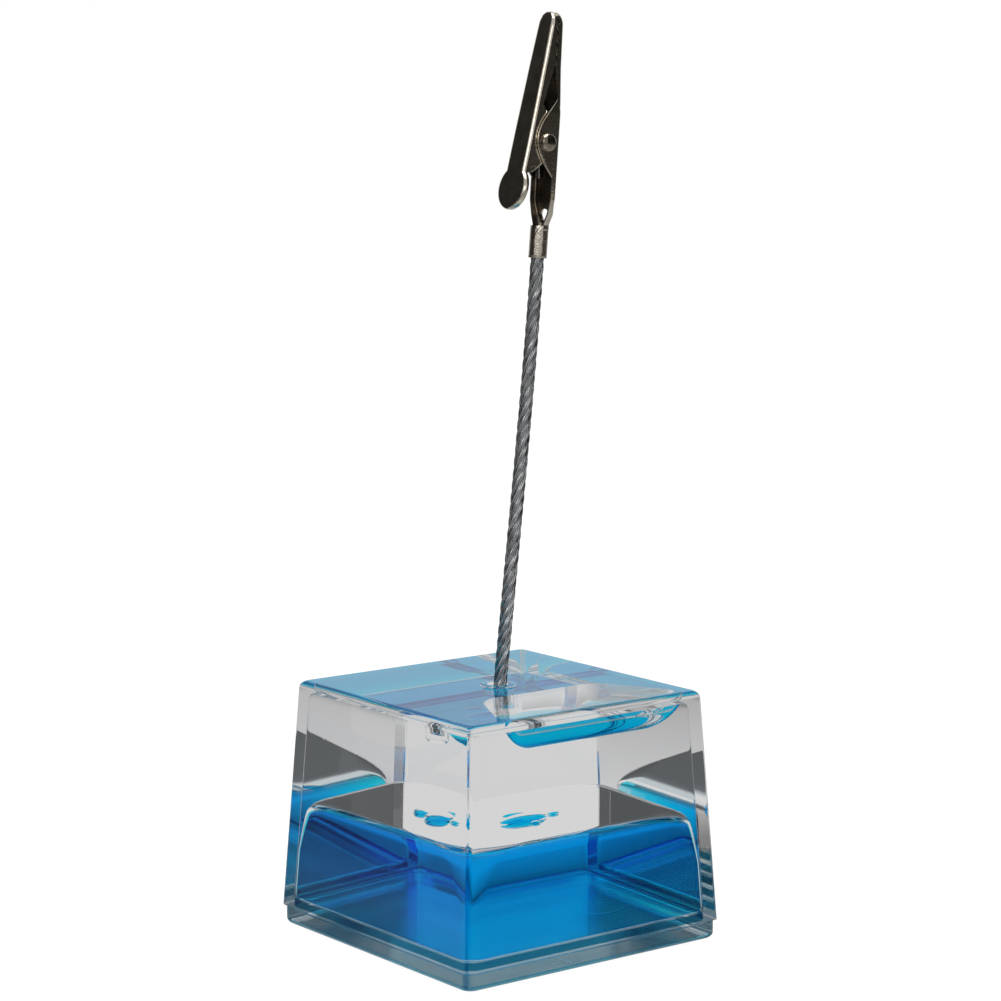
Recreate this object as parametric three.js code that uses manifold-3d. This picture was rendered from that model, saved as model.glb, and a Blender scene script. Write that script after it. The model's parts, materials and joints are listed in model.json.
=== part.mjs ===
// Memo holder: a clear liquid-filled base, a wire rope stem and a sprung crocodile clip.
// Millimetres, +Z up. The origin is the centre of the underside.
import * as THREE from 'three';
import { mergeVertices } from 'three/addons/utils/BufferGeometryUtils.js';
import Module from 'manifold-3d';

// Case and base plate
const BASE_WIDTH = 50; // case across its foot
const TOP_WIDTH = 45.7; // case across its top
const BASE_HEIGHT = 39.9; // underside of the plate to the top of the case
const WALL = 1.8; // side walls of the case
const TOP_WALL = 2; // top of the case
const CASE_CORNER = 0.8; // radius of the case's upright edges
const CASE_EDGE = 0.6; // radius round the top face
const CAVITY_CORNER = 1.2; // radius of the cavity's upright corners
const CAVITY_EDGE = 1; // radius between the cavity's walls and the top
const PLATE_THICKNESS = 2.9; // flange of the plate, under the case's rim
const PLATE_INSET = 0.2; // flange edge inside the case's foot
const PLATE_CORNER = 1.6; // radius of the flange's corners
const PLATE_EDGE = 0.9; // radius round the flange's lower edge
const PLATE_BREAK = 0.25; // radius round the flange's upper edge
const PLATE_STEP = 1.2; // height of the step that plugs into the case
const STEP_CLEARANCE = 0.15; // step to the case's walls
const GLUE_LINE = 0.1; // case rim to flange

// Fill hole and its plug
const PLUG_MARGIN = 11; // plug's middle from the +Y side of the case's foot
const PLUG_HEAD = 8; // head diameter
const PLUG_HEAD_DEPTH = 1.2; // head thickness
const PLUG_STEM = 5; // stem diameter
const PLUG_RECESS = 0.3; // head below the underside
const PLUG_CLEARANCE = 0.1; // all round the plug

// Socket for the stem
const SOCKET_DEPTH = 6.7; // bore, from the top face
const SOCKET_CLEARANCE = 0.55; // rope to bore, all round
const BOSS_WALL = 0.9; // plastic round the bore
const BOSS_FLOOR = 1.5; // plastic under the bore
const BOSS_EDGE = 0.6; // radius of the boss's lower edge
const COLLAR_WIDTH = 5.9; // raised collar on the top face, diameter
const COLLAR_HEIGHT = 0.25; // collar above the top face

// Filling
const FILM = 0.3; // liquids to walls and to each other
const WATER_LEVEL = 20.4; // flat top of the dyed water
const WATER_DROP = 1.6; // how far the surface falls at the walls
const WATER_RUN = 4; // how far in the fall starts
const WATER_CORNER = 1.5; // upright corners of the water, low down
const WATER_CORNER_TOP = 9; // the same at the flat top
const WATER_CORNER_FALL = 6.5; // below the wall line, where the corners start to round off
const WATER_FOOT = 0.8; // radius round the water's lower edge
const BUBBLE_LENGTH = 35; // air bubble along Y, beside the +X wall
const BUBBLE_WIDTH = 14; // air bubble along X
const BUBBLE_SHIFT = 3.2; // bubble centre, toward +Y
const BUBBLE_RIM = 62; // degrees, how steeply its underside leaves the top
const BUBBLE_CORNER = 2.4; // radius of its corners, seen from above
const BUBBLE_NARROW = 0.4; // how much shorter it is away from the wall
const DROP_CROWN = 0.36; // height of a drop's crown over half its width
const DROP_BELLY = 0.15; // depth of its underside over the height of its crown
const DROPS = [
  { x: 3.6, y: -4.2, halfX: 2.4, halfY: 4.5 },
  { x: 2.8, y: 2, halfX: 0.9, halfY: 1.1 },
  { x: -1.2, y: -4, halfX: 1.5, halfY: 2 },
  { x: 7.4, y: -3.6, halfX: 0.9, halfY: 0.9 },
];

// Stem
const ROPE_DIAMETER = 2.2;
const STEM_LENGTH = 67.8; // top face to the clip's barrel
const STEM_LEAN = 6.3; // degrees, toward +Y
const ROPE_LIFT = 0.4; // rope's foot above the socket's floor
const ROPE_IN_BARREL = 4.2; // rope inside the barrel

// Clip, in its own frame: the rivet at the origin, +Z to the tip, +Y to the fixed jaw's back
const CLIP_LEAN = 4.6; // degrees, toward +Y
const SHEET = 0.3; // sheet of both jaws
const BEND = 0.7; // outer bend radius
const BEND_SHARE = 0.9; // most of a flange or half a back that a bend takes
const FIXED_BACK = 2.43; // rivet to the fixed jaw's outer face
const FIXED_WIDTH = 5.4; // fixed jaw across its ears
const FRONT_WIDTH = 4.2; // both jaws where the teeth begin
const TIP_WIDTH = 3.8; // both jaws where the nose begins
const NOSE = 2; // length of the rounded nose
const NOSE_CURL = 0.5; // radius by which the backs curl in along the nose
const NOSE_ROUND = 0.92; // share of a full round that the nose has
const JAW_REACH = 20.2; // rivet to tip
const TAIL_LENGTH = 12.95; // rivet to the barrel's upper end
const TAIL_WALL = 1.15; // height of the tail's side walls
const TAIL_HOLE = 1.9; // hole in the tail
const TAIL_HOLE_RISE = 1.75; // hole centre above the barrel
const BARREL_LENGTH = 5.05;
const BARREL_CLEARANCE = 0.04; // rope to barrel
const BARREL_OFFSET = 1.48; // barrel axis from the rivet, toward +Y
const BARREL_SLIT = 0.35; // seam of the rolled barrel
const SEAM_TURN = 25; // degrees, seam from -Y toward +X
const EAR_RISE = 3.25; // height of the ears over the tail walls
const EAR_LENGTH = 11.6; // ears along the jaw
const EAR_SHIFT = 0.4; // ear centre from the rivet, toward the tip
const WAIST_WALL = 0.75; // side walls between ears and teeth
const TEETH_START = 11.6; // rivet to the first tooth
const TIP_LAND = 0.6; // last tooth to the tip
const TOOTH_DEPTH = 0.54;
const TOOTH_COUNT = 4;
const PARTING = 1.18; // fixed jaw's outer face to the middle of the teeth
const JAW_GAP = 0.25; // between the teeth of the shut jaws
const JAW_CLOSED = 10.3; // degrees between the two backs when shut
const MOVING_BACK = 3.37; // rivet to the moving jaw's outer face
const SIDE_CLEARANCE = 0.12; // moving jaw inside the ears
const LOBE_REACH = 1.6; // pivot lobes beyond the rivet's axis
const LOBE_LENGTH = 11.2; // pivot lobes along the jaw
const FLANGE = 1.3; // height of the moving jaw's flanges in front of the lobes
const PADDLE_RADIUS = 3.45;
const PADDLE_CENTRE = 8; // rivet to the middle of the thumb paddle
const PADDLE_RIM = 0.85; // turned rim of the paddle
const PADDLE_END = 8; // degrees, how much of the paddle's end is cut straight

// Rivet and spring
const RIVET_SHANK = 1.5;
const RIVET_CLEARANCE = 0.1; // shank to holes
const RIVET_HEAD = 2.8;
const RIVET_DOME = 0.75; // height of a head
const HEAD_CLEARANCE = 0.05; // heads to ears
const WIRE = 0.5; // spring wire
const COIL_RADIUS = 1.35; // to the wire's middle
const COIL_TURNS = 2.5;
const COIL_PITCH = 1;
const LEG_LENGTH = 5.6; // spring legs
const LEG_CLEARANCE = 0.15; // legs to the jaws

// Facets
const CORNER_STEPS = 5;
const ROUND_STEPS = 24;
const BEND_STEPS = 3;
const DROP_STEPS = 8;
const DROP_SIDES = 16;
const BUBBLE_STEPS = 6;
const EAR_STEPS = 14;
const PADDLE_STEPS = 9;
const LOBE_STEPS = 12;
const SPRING_STEPS = 60;
const SPRING_SAMPLES = 300;

const radians = THREE.MathUtils.degToRad;
const wasm = await Module();
wasm.setup();

// Materials
function finish(color, roughness, metalness, opacity = 1) {
  return new THREE.MeshStandardMaterial({ color, roughness, metalness, opacity, transparent: opacity < 1 });
}
const clearPlastic = finish(0xe9f0f0, 0.05, 0, 0.25);
const clearOil = finish(0xe4e9e6, 0.05, 0, 0.2);
const dyedWater = finish(0x0a78c8, 0.05, 0, 0.85);
const nickel = finish(0xb9b6b0, 0.15, 1);
const springSteel = finish(0x9a9a98, 0.3, 1);
const ropeSteel = finish(0x8d9094, 0.35, 1);

// A closed solid, its faces out, from a geometry whose seams and poles may repeat vertices
function solid(geometry) {
  const bare = new THREE.BufferGeometry();
  bare.setAttribute('position', geometry.getAttribute('position'));
  bare.setIndex(geometry.index);
  const merged = mergeVertices(bare, 1e-4);
  const vertices = Float32Array.from(merged.getAttribute('position').array);
  const corner = (i) => new THREE.Vector3().fromArray(vertices, 3 * i);
  const faces = [];
  let volume = 0;
  for (let i = 0; i < merged.index.count; i += 3) {
    const [a, b, c] = [0, 1, 2].map((k) => merged.index.getX(i + k));
    if (a !== b && b !== c && c !== a) {
      faces.push([a, b, c]);
      volume += corner(a).dot(corner(b).cross(corner(c)));
    }
  }
  const triVerts = Uint32Array.from(faces.flatMap((face) => (volume < 0 ? face.reverse() : face)));
  return new wasm.Manifold(new wasm.Mesh({ numProp: 3, vertProperties: vertices, triVerts }));
}

// A named mesh from a solid
function piece(name, body, material) {
  const { vertProperties, triVerts } = body.getMesh();
  const geometry = new THREE.BufferGeometry();
  geometry.setAttribute('position', new THREE.BufferAttribute(Float32Array.from(vertProperties), 3));
  geometry.setIndex(new THREE.BufferAttribute(Uint32Array.from(triVerts), 1));
  geometry.computeVertexNormals();
  const mesh = new THREE.Mesh(geometry, material);
  mesh.name = name;
  return mesh;
}

// A solid through closed flat rings, each at its own height, with its ends capped
function loft(rings) {
  const count = rings[0].length;
  const positions = [];
  const face = (a, b, c) => [a, b, c].forEach((point) => positions.push(point.x, point.y, point.z));
  for (let i = 0; i + 1 < rings.length; i++) {
    const [low, high] = [rings[i], rings[i + 1]];
    for (let j = 0; j < count; j++) {
      const k = (j + 1) % count;
      face(low[j], low[k], high[k]);
      face(low[j], high[k], high[j]);
    }
  }
  const flat = (point) => new THREE.Vector2(point.x, point.y);
  const turn = (points) => Math.sign(THREE.ShapeUtils.area(points));
  [rings[0], rings.at(-1)].forEach((ring, end) => {
    const outline = ring.map(flat);
    const wanted = end ? turn(outline) : -turn(outline);
    THREE.ShapeUtils.triangulateShape(outline, []).forEach(([a, b, c]) => {
      const agrees = turn([outline[a], outline[b], outline[c]]) === wanted;
      face(ring[a], ring[agrees ? b : c], ring[agrees ? c : b]);
    });
  });
  const geometry = new THREE.BufferGeometry();
  geometry.setAttribute('position', new THREE.Float32BufferAttribute(positions, 3));
  return solid(mergeVertices(geometry, 1e-4));
}

// A rounded rectangle at one height
function roundedRing(halfX, halfY, radius, z, x = 0, y = 0) {
  const ring = [];
  for (let corner = 0; corner < 4; corner++) {
    const sideX = corner % 3 === 0 ? 1 : -1;
    const sideY = corner < 2 ? 1 : -1;
    for (let step = 0; step <= CORNER_STEPS; step++) {
      const angle = ((corner + step / CORNER_STEPS) * Math.PI) / 2;
      const alongX = sideX * (halfX - radius) + radius * Math.cos(angle);
      const alongY = sideY * (halfY - radius) + radius * Math.sin(angle);
      ring.push(new THREE.Vector3(x + alongX, y + alongY, z));
    }
  }
  return ring;
}

// A turned solid about Z, from [radius, height] points that start and end on the axis
function turned(points, steps = ROUND_STEPS) {
  const profile = points.map(([radius, height]) => new THREE.Vector2(radius, height));
  return solid(new THREE.LatheGeometry(profile, steps).rotateX(Math.PI / 2));
}

// A plain round bar about Z
function bar(radius, low, high) {
  return turned([[0, low], [radius, low], [radius, high], [0, high]]);
}

// The points of a quarter round, as [cosine, sine] of its angle
function quarter(steps) {
  return Array.from({ length: steps + 1 }, (_, step) => {
    const angle = ((step / steps) * Math.PI) / 2;
    return [Math.cos(angle), Math.sin(angle)];
  });
}

// Levels and widths that the base's pieces share
const taper = (BASE_WIDTH - TOP_WIDTH) / 2 / (BASE_HEIGHT - PLATE_THICKNESS);
const caseHalf = (z) => BASE_WIDTH / 2 - (z - PLATE_THICKNESS) * taper;
const cavityHalf = (z) => caseHalf(z) - WALL;
const liquidHalf = (z) => cavityHalf(z) - FILM;
const ceiling = BASE_HEIGHT - TOP_WALL;
const cavityFloor = PLATE_THICKNESS + PLATE_STEP;
const boreRadius = ROPE_DIAMETER / 2 + SOCKET_CLEARANCE;
const boreFloor = BASE_HEIGHT - SOCKET_DEPTH;
const bossRadius = boreRadius + BOSS_WALL;
const bossFoot = boreFloor - BOSS_FLOOR;
const waterWallLine = WATER_LEVEL - WATER_DROP;

// Rings of the fillet where the cavity's walls run into its ceiling, shrunk by a gap
function cavityTop(gap) {
  return quarter(BEND_STEPS).map(([across, up]) => {
    const z = ceiling - CAVITY_EDGE * (1 - up);
    const half = cavityHalf(z) - CAVITY_EDGE * (1 - across) - gap;
    return roundedRing(half, half, CAVITY_CORNER, z - gap);
  });
}

// The boss, grown all round by a gap
function boss(gap) {
  const radius = bossRadius + gap;
  const foot = bossFoot - gap;
  const edge = quarter(BEND_STEPS).map(([across, down]) => [
    radius - BOSS_EDGE + BOSS_EDGE * across,
    foot + BOSS_EDGE - BOSS_EDGE * down,
  ]);
  const top = ceiling + TOP_WALL / 2;
  return turned([[0, foot], ...edge.reverse(), [radius, top], [0, top]]);
}

// Tapered case, open below, with the socket under its top
function clearCase() {
  const rim = PLATE_THICKNESS + GLUE_LINE;
  const rings = [roundedRing(caseHalf(rim), caseHalf(rim), CASE_CORNER, rim)];
  for (const [across, up] of quarter(BEND_STEPS)) {
    const z = BASE_HEIGHT - CASE_EDGE * (1 - up);
    const half = caseHalf(z) - CASE_EDGE * (1 - across);
    rings.push(roundedRing(half, half, CASE_CORNER, z));
  }
  const open = rim - WALL;
  const cavity = [roundedRing(cavityHalf(open), cavityHalf(open), CAVITY_CORNER, open), ...cavityTop(0)];
  const collar = bar(COLLAR_WIDTH / 2, ceiling + TOP_WALL / 2, BASE_HEIGHT + COLLAR_HEIGHT);
  const bore = bar(boreRadius, boreFloor, BASE_HEIGHT + COLLAR_HEIGHT + WALL);
  const body = loft(rings).subtract(loft(cavity)).add(boss(0)).add(collar).subtract(bore);
  return piece('clear_case', body, clearPlastic);
}

// The fill plug, grown all round by a gap: a head below and a stem above
function plugBody(gap) {
  const head = PLUG_RECESS + PLUG_HEAD_DEPTH + gap;
  const low = gap > 0 ? -PLATE_EDGE : PLUG_RECESS;
  const high = gap > 0 ? cavityFloor + PLATE_STEP : cavityFloor;
  const stem = PLUG_STEM / 2 + gap;
  const rim = PLUG_HEAD / 2 + gap;
  const body = turned([[0, low], [rim, low], [rim, head], [stem, head], [stem, high], [0, high]]);
  return body.translate([0, BASE_WIDTH / 2 - PLUG_MARGIN, 0]);
}

// Base plate: a flange under the case's rim and a step inside it
function basePlate() {
  const half = BASE_WIDTH / 2 - PLATE_INSET;
  const flange = quarter(BEND_STEPS).map(([across, up]) => {
    const inset = PLATE_EDGE * (1 - up);
    return roundedRing(half - inset, half - inset, PLATE_CORNER, PLATE_EDGE * (1 - across));
  });
  for (const [across, up] of quarter(BEND_STEPS)) {
    const inset = PLATE_BREAK * (1 - across);
    const z = PLATE_THICKNESS - PLATE_BREAK * (1 - up);
    flange.push(roundedRing(half - inset, half - inset, PLATE_CORNER, z));
  }
  const step = [PLATE_THICKNESS - PLATE_EDGE, cavityFloor].map((z) => {
    const reach = cavityHalf(Math.max(z, PLATE_THICKNESS)) - STEP_CLEARANCE;
    return roundedRing(reach, reach, CAVITY_CORNER, z);
  });
  const body = loft(flange).add(loft(step)).subtract(plugBody(PLUG_CLEARANCE));
  return piece('base_plate', body, clearPlastic);
}

function fillPlug() {
  return piece('fill_plug', plugBody(0), clearPlastic);
}

// The water's pillow, grown all round by a gap
function waterBody(gap) {
  const ring = (z, inset, radius) => {
    const half = liquidHalf(z) - inset + gap;
    return roundedRing(half, half, radius, z);
  };
  const foot = cavityFloor + FILM - gap;
  const rings = quarter(BEND_STEPS).map(([across, up]) =>
    ring(foot + WATER_FOOT * (1 - across), WATER_FOOT * (1 - up), WATER_CORNER),
  );
  const cornerStart = waterWallLine - WATER_CORNER_FALL;
  rings.push(ring(cornerStart, 0, WATER_CORNER));
  const steps = 2 * BEND_STEPS;
  const cornerMiddle = (WATER_CORNER + WATER_CORNER_TOP) / 2;
  for (let step = 1; step < steps; step++) {
    const share = step / steps;
    const z = cornerStart + WATER_CORNER_FALL * Math.sin((share * Math.PI) / 2);
    rings.push(ring(z, 0, WATER_CORNER + (cornerMiddle - WATER_CORNER) * share));
  }
  quarter(steps).forEach(([across, up], step) => {
    const z = waterWallLine + gap + WATER_DROP * up;
    const radius = cornerMiddle + ((WATER_CORNER_TOP - cornerMiddle) * step) / steps;
    rings.push(ring(z, WATER_RUN * (1 - across), radius));
  });
  return loft(rings);
}

function blueLiquid() {
  return piece('blue_liquid', waterBody(0), dyedWater);
}

// One loose drop resting on the water, grown all round by a gap
function dropBody({ x, y, halfX, halfY }, gap) {
  const crown = halfX * DROP_CROWN;
  const belly = crown * DROP_BELLY;
  const points = Array.from({ length: DROP_STEPS + 1 }, (_, step) => {
    const angle = (step / DROP_STEPS - 0.5) * Math.PI;
    const across = step % DROP_STEPS ? Math.cos(angle) : 0;
    return [across, Math.sin(angle) * ((angle > 0 ? crown : belly) + gap)];
  });
  const body = turned(points, DROP_SIDES).scale([halfX + gap, halfY + gap, 1]);
  return body.translate([x, y, WATER_LEVEL + FILM + belly]);
}

function blueDroplets() {
  return DROPS.map((drop, index) => piece(`blue_droplet_${index + 1}`, dropBody(drop, 0), dyedWater));
}

// The air bubble: flat under the top, its underside an arc, shorter away from the +X wall
function bubbleBody() {
  const top = ceiling - FILM;
  const [halfX, halfY] = [BUBBLE_WIDTH / 2, BUBBLE_LENGTH / 2];
  const wall = cavityHalf(ceiling) - CAVITY_EDGE;
  const rim = radians(BUBBLE_RIM);
  const radius = halfX / Math.sin(rim);
  const ring = (slope, z) => {
    const reach = radius * Math.sin(slope);
    const corner = (BUBBLE_CORNER * reach) / halfX;
    return roundedRing(reach, halfY - halfX + reach, corner, z, wall - halfX).map((point) => {
      const away = (wall - point.x) / BUBBLE_WIDTH;
      point.y = BUBBLE_SHIFT + point.y * (1 - BUBBLE_NARROW * away * away);
      return point;
    });
  };
  const rings = Array.from({ length: BUBBLE_STEPS }, (_, step) => {
    const slope = (rim * (step + 1)) / BUBBLE_STEPS;
    return ring(slope, top - radius * (Math.cos(slope) - Math.cos(rim)));
  });
  return loft([...rings, ring(rim, top + FILM)]);
}

// Oil over the water, with the bubble, the drops and the boss let into it
function clearOilBody() {
  const half = liquidHalf(waterWallLine);
  const whole = loft([roundedRing(half, half, CAVITY_CORNER, waterWallLine), ...cavityTop(FILM)]);
  let body = whole.subtract(waterBody(FILM)).subtract(boss(FILM)).subtract(bubbleBody());
  for (const drop of DROPS) {
    body = body.subtract(dropBody(drop, FILM));
  }
  return piece('clear_oil', body, clearOil);
}

// Where the stem stands and the clip starts
const stemTurn = radians(STEM_LEAN);
const clipTurn = radians(CLIP_LEAN);
const along = (turn, length) => new THREE.Vector3(0, length * Math.sin(turn), length * Math.cos(turn));
const socketMiddle = new THREE.Vector3(0, 0, BASE_HEIGHT - SOCKET_DEPTH / 2);
const barrelFoot = socketMiddle.clone().add(along(stemTurn, STEM_LENGTH + SOCKET_DEPTH / 2));
const barrelRadius = ROPE_DIAMETER / 2 + BARREL_CLEARANCE + SHEET;

// Wire rope from the socket into the barrel
function stemRope() {
  const foot = socketMiddle.clone().sub(along(stemTurn, SOCKET_DEPTH / 2 - ROPE_LIFT));
  const head = barrelFoot.clone().add(along(clipTurn, ROPE_IN_BARREL));
  const third = foot.distanceTo(head) / 3;
  const route = new THREE.CubicBezierCurve3(
    foot,
    foot.clone().add(along(stemTurn, third)),
    head.clone().sub(along(clipTurn, third)),
    head,
  );
  const section = new THREE.Shape().absarc(0, 0, ROPE_DIAMETER / 2, 0, 2 * Math.PI);
  const steps = Math.ceil(foot.distanceTo(head) / (2 * ROPE_DIAMETER));
  const laid = { extrudePath: route, steps, curveSegments: CORNER_STEPS + 1 };
  return piece('stem_rope', solid(new THREE.ExtrudeGeometry(section, laid)), ropeSteel);
}

// One side of a bent sheet: flange edge, bend, back, bend, flange edge
function bentPath(half, back, edge, radius) {
  const out = Math.sign(back - edge);
  const right = quarter(BEND_STEPS).map(([across, up]) => [
    half - radius + radius * across,
    back - out * radius * (1 - up),
  ]);
  const left = right.map(([x, y]) => [-x, y]).reverse();
  return [[half, edge], ...right, ...left, [-half, edge]];
}

// Section of a jaw: back and edge are heights in Y of its outer face and its flanges' free edges
function channelRing({ z, width, back, edge, bend = BEND }) {
  const out = Math.sign(back - edge);
  const half = width / 2;
  const radius = Math.min(bend, BEND_SHARE * half, BEND_SHARE * Math.abs(back - edge));
  const inner = Math.min(Math.max(radius - SHEET, SHEET / 4), BEND_SHARE * (half - SHEET));
  const outside = bentPath(half, back, edge, radius);
  const inside = bentPath(half - SHEET, back - out * SHEET, edge, inner);
  return [...outside, ...inside.reverse()].map(([x, y]) => new THREE.Vector3(x, y, z));
}

// A straight run between two pairs
const between = (value, [from, low], [to, high]) => low + ((high - low) * (value - from)) / (to - from);

// Half a wave over a length, 1 in its middle and 0 at its ends
const arch = (z, middle, length) => Math.cos((Math.PI * (z - middle)) / length);

// Corners of the shut jaws' toothed line, in the clip's frame: the fixed jaw's tooth tips are even
const partingLine = FIXED_BACK - PARTING;
const toothPitch = (JAW_REACH - TIP_LAND - TEETH_START) / TOOTH_COUNT;
const toothCorners = Array.from({ length: 2 * TOOTH_COUNT + 1 }, (_, corner) => ({
  z: TEETH_START + (corner * toothPitch) / 2,
  y: partingLine + ((corner % 2 ? 1 : -1) * TOOTH_DEPTH) / 2,
}));

// Share of the nose's full width that is left at a height
const noseStart = JAW_REACH - NOSE;
const noseShare = (z) => Math.sqrt(1 - Math.max(0, (NOSE_ROUND * (z - noseStart)) / NOSE) ** 2);

// Width of either jaw from its teeth to its nose
function frontWidth(z) {
  const straight = between(Math.min(z, noseStart), [TEETH_START, FRONT_WIDTH], [noseStart, TIP_WIDTH]);
  return straight * noseShare(z);
}

// How far either jaw's back has curled in
const noseCurl = (z) => NOSE_CURL * (1 - noseShare(z));

// Toothed line with the land behind its last tooth
const noseLine = [1, 2, 3].map((step) => ({
  z: between(step, [0, JAW_REACH - TIP_LAND], [3, JAW_REACH]),
  y: partingLine,
}));
const biteLine = [...toothCorners, ...noseLine];

const rivetBore = RIVET_SHANK / 2 + RIVET_CLEARANCE;
const crossBar = (radius, low, high) => bar(radius, low, high).rotate([0, 90, 0]);

// Barrel rolled from the tail's sheet, with its seam open
function barrel() {
  const seam = -Math.PI / 2 + radians(SEAM_TURN);
  const opening = BARREL_SLIT / barrelRadius / 2;
  const section = new THREE.Shape();
  section.absarc(0, 0, barrelRadius, seam + opening, seam - opening + 2 * Math.PI, false);
  section.absarc(0, 0, barrelRadius - SHEET, seam - opening + 2 * Math.PI, seam + opening, true);
  const rolled = { depth: BARREL_LENGTH, bevelEnabled: false, curveSegments: ROUND_STEPS };
  const body = solid(new THREE.ExtrudeGeometry(section, rolled));
  return body.translate([0, BARREL_OFFSET, -TAIL_LENGTH - BARREL_LENGTH]);
}

// Fixed jaw: barrel, neck, holed tail, ears, waist, teeth and nose, bent from one sheet
function fixedJaw() {
  const tailEdge = FIXED_BACK - TAIL_WALL;
  const neckBack = BARREL_OFFSET + barrelRadius;
  const earLow = EAR_SHIFT - EAR_LENGTH / 2;
  const earHigh = EAR_SHIFT + EAR_LENGTH / 2;
  const neckEdge = BARREL_OFFSET - SHEET;
  const shoulder = -TAIL_LENGTH + TAIL_HOLE + TAIL_HOLE_RISE;
  const rolled = barrelRadius - SHEET / 4;
  const neck = { width: 2 * barrelRadius, back: neckBack, edge: neckEdge, bend: rolled };
  const tail = { back: FIXED_BACK, edge: tailEdge };
  const stations = [
    { ...neck, z: -TAIL_LENGTH - barrelRadius / 2 },
    { ...neck, z: -TAIL_LENGTH + SHEET },
    { ...tail, z: -TAIL_LENGTH + TAIL_HOLE_RISE, width: FRONT_WIDTH, back: (neckBack + FIXED_BACK) / 2 },
    { ...tail, z: shoulder, width: FIXED_WIDTH - SHEET },
    { ...tail, z: shoulder + BEND, width: FIXED_WIDTH },
  ];
  for (let step = 0; step <= EAR_STEPS; step++) {
    const z = earLow + (step / EAR_STEPS) * EAR_LENGTH;
    const edge = tailEdge - EAR_RISE * arch(z, EAR_SHIFT, EAR_LENGTH);
    const width = z < earHigh - BEND ? FIXED_WIDTH : FIXED_WIDTH - SHEET;
    stations.push({ z, width, back: FIXED_BACK, edge });
  }
  const waist = earHigh + BEND;
  const waistWidth = between(waist, [earHigh, FIXED_WIDTH - SHEET], [TEETH_START, FRONT_WIDTH]);
  stations.push({ z: waist, width: waistWidth, back: FIXED_BACK, edge: FIXED_BACK - WAIST_WALL });
  for (const { y, z } of biteLine) {
    stations.push({ z, width: frontWidth(z), back: FIXED_BACK - noseCurl(z), edge: y });
  }
  const hole = bar(TAIL_HOLE / 2, 0, neckBack + FIXED_BACK).rotate([-90, 0, 0]);
  const body = loft(stations.map(channelRing))
    .add(barrel())
    .subtract(crossBar(rivetBore, -FIXED_WIDTH, FIXED_WIDTH))
    .subtract(hole.translate([0, 0, -TAIL_LENGTH + TAIL_HOLE_RISE]));
  return piece('fixed_jaw', body, nickel);
}

// A point of the clip's frame in the moving jaw's own, whose back stands upright
const closedTurn = radians(JAW_CLOSED);
const inMovingJaw = ({ y, z }) => ({
  y: y * Math.cos(closedTurn) - z * Math.sin(closedTurn),
  z: y * Math.sin(closedTurn) + z * Math.cos(closedTurn),
});

// Moving jaw: thumb paddle, pivot lobes, flanges, teeth and nose, bent from one sheet
function movingJaw() {
  const back = -MOVING_BACK;
  const pivotWidth = FIXED_WIDTH - 2 * SHEET - 2 * SIDE_CLEARANCE;
  const flangeEdge = back + FLANGE;
  const lobeRise = LOBE_REACH - flangeEdge;
  const stations = [];
  const neckAngle = Math.PI - Math.asin(pivotWidth / 2 / PADDLE_RADIUS);
  for (let step = 0; step <= PADDLE_STEPS; step++) {
    const angle = between(step, [0, radians(PADDLE_END)], [PADDLE_STEPS, neckAngle]);
    const z = -PADDLE_CENTRE - PADDLE_RADIUS * Math.cos(angle);
    const width = 2 * PADDLE_RADIUS * Math.sin(angle);
    stations.push({ z, width, back, edge: back + PADDLE_RIM });
  }
  const lobeStart = Math.max(-LOBE_LENGTH / 2, stations.at(-1).z + SHEET);
  for (let step = 0; step <= LOBE_STEPS; step++) {
    const z = between(step, [0, lobeStart], [LOBE_STEPS, LOBE_LENGTH / 2]);
    const width = z < 0 ? pivotWidth : between(z, [0, pivotWidth], [TEETH_START, FRONT_WIDTH]);
    stations.push({ z, width, back, edge: flangeEdge + lobeRise * arch(z, 0, LOBE_LENGTH) });
  }
  for (const corner of biteLine) {
    const { y, z } = inMovingJaw({ y: corner.y - JAW_GAP, z: corner.z });
    stations.push({ z, width: frontWidth(corner.z), back: back + noseCurl(corner.z), edge: y });
  }
  const hole = crossBar(rivetBore, -FIXED_WIDTH, FIXED_WIDTH);
  const mesh = piece('moving_jaw', loft(stations.map(channelRing)).subtract(hole), nickel);
  mesh.rotation.x = -closedTurn;
  return mesh;
}

// Rivet with two domed heads
function jawRivet() {
  const seat = FIXED_WIDTH / 2 + HEAD_CLEARANCE;
  const dome = quarter(BEND_STEPS + 1).map(([across, up]) => [
    (RIVET_HEAD / 2) * across,
    seat + RIVET_DOME * up,
  ]);
  dome[dome.length - 1][0] = 0;
  const upper = [[RIVET_SHANK / 2, seat], ...dome];
  const lower = upper.map(([radius, height]) => [radius, -height]).reverse();
  return piece('jaw_rivet', turned([...lower, ...upper]).rotate([0, 90, 0]), nickel);
}

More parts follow.
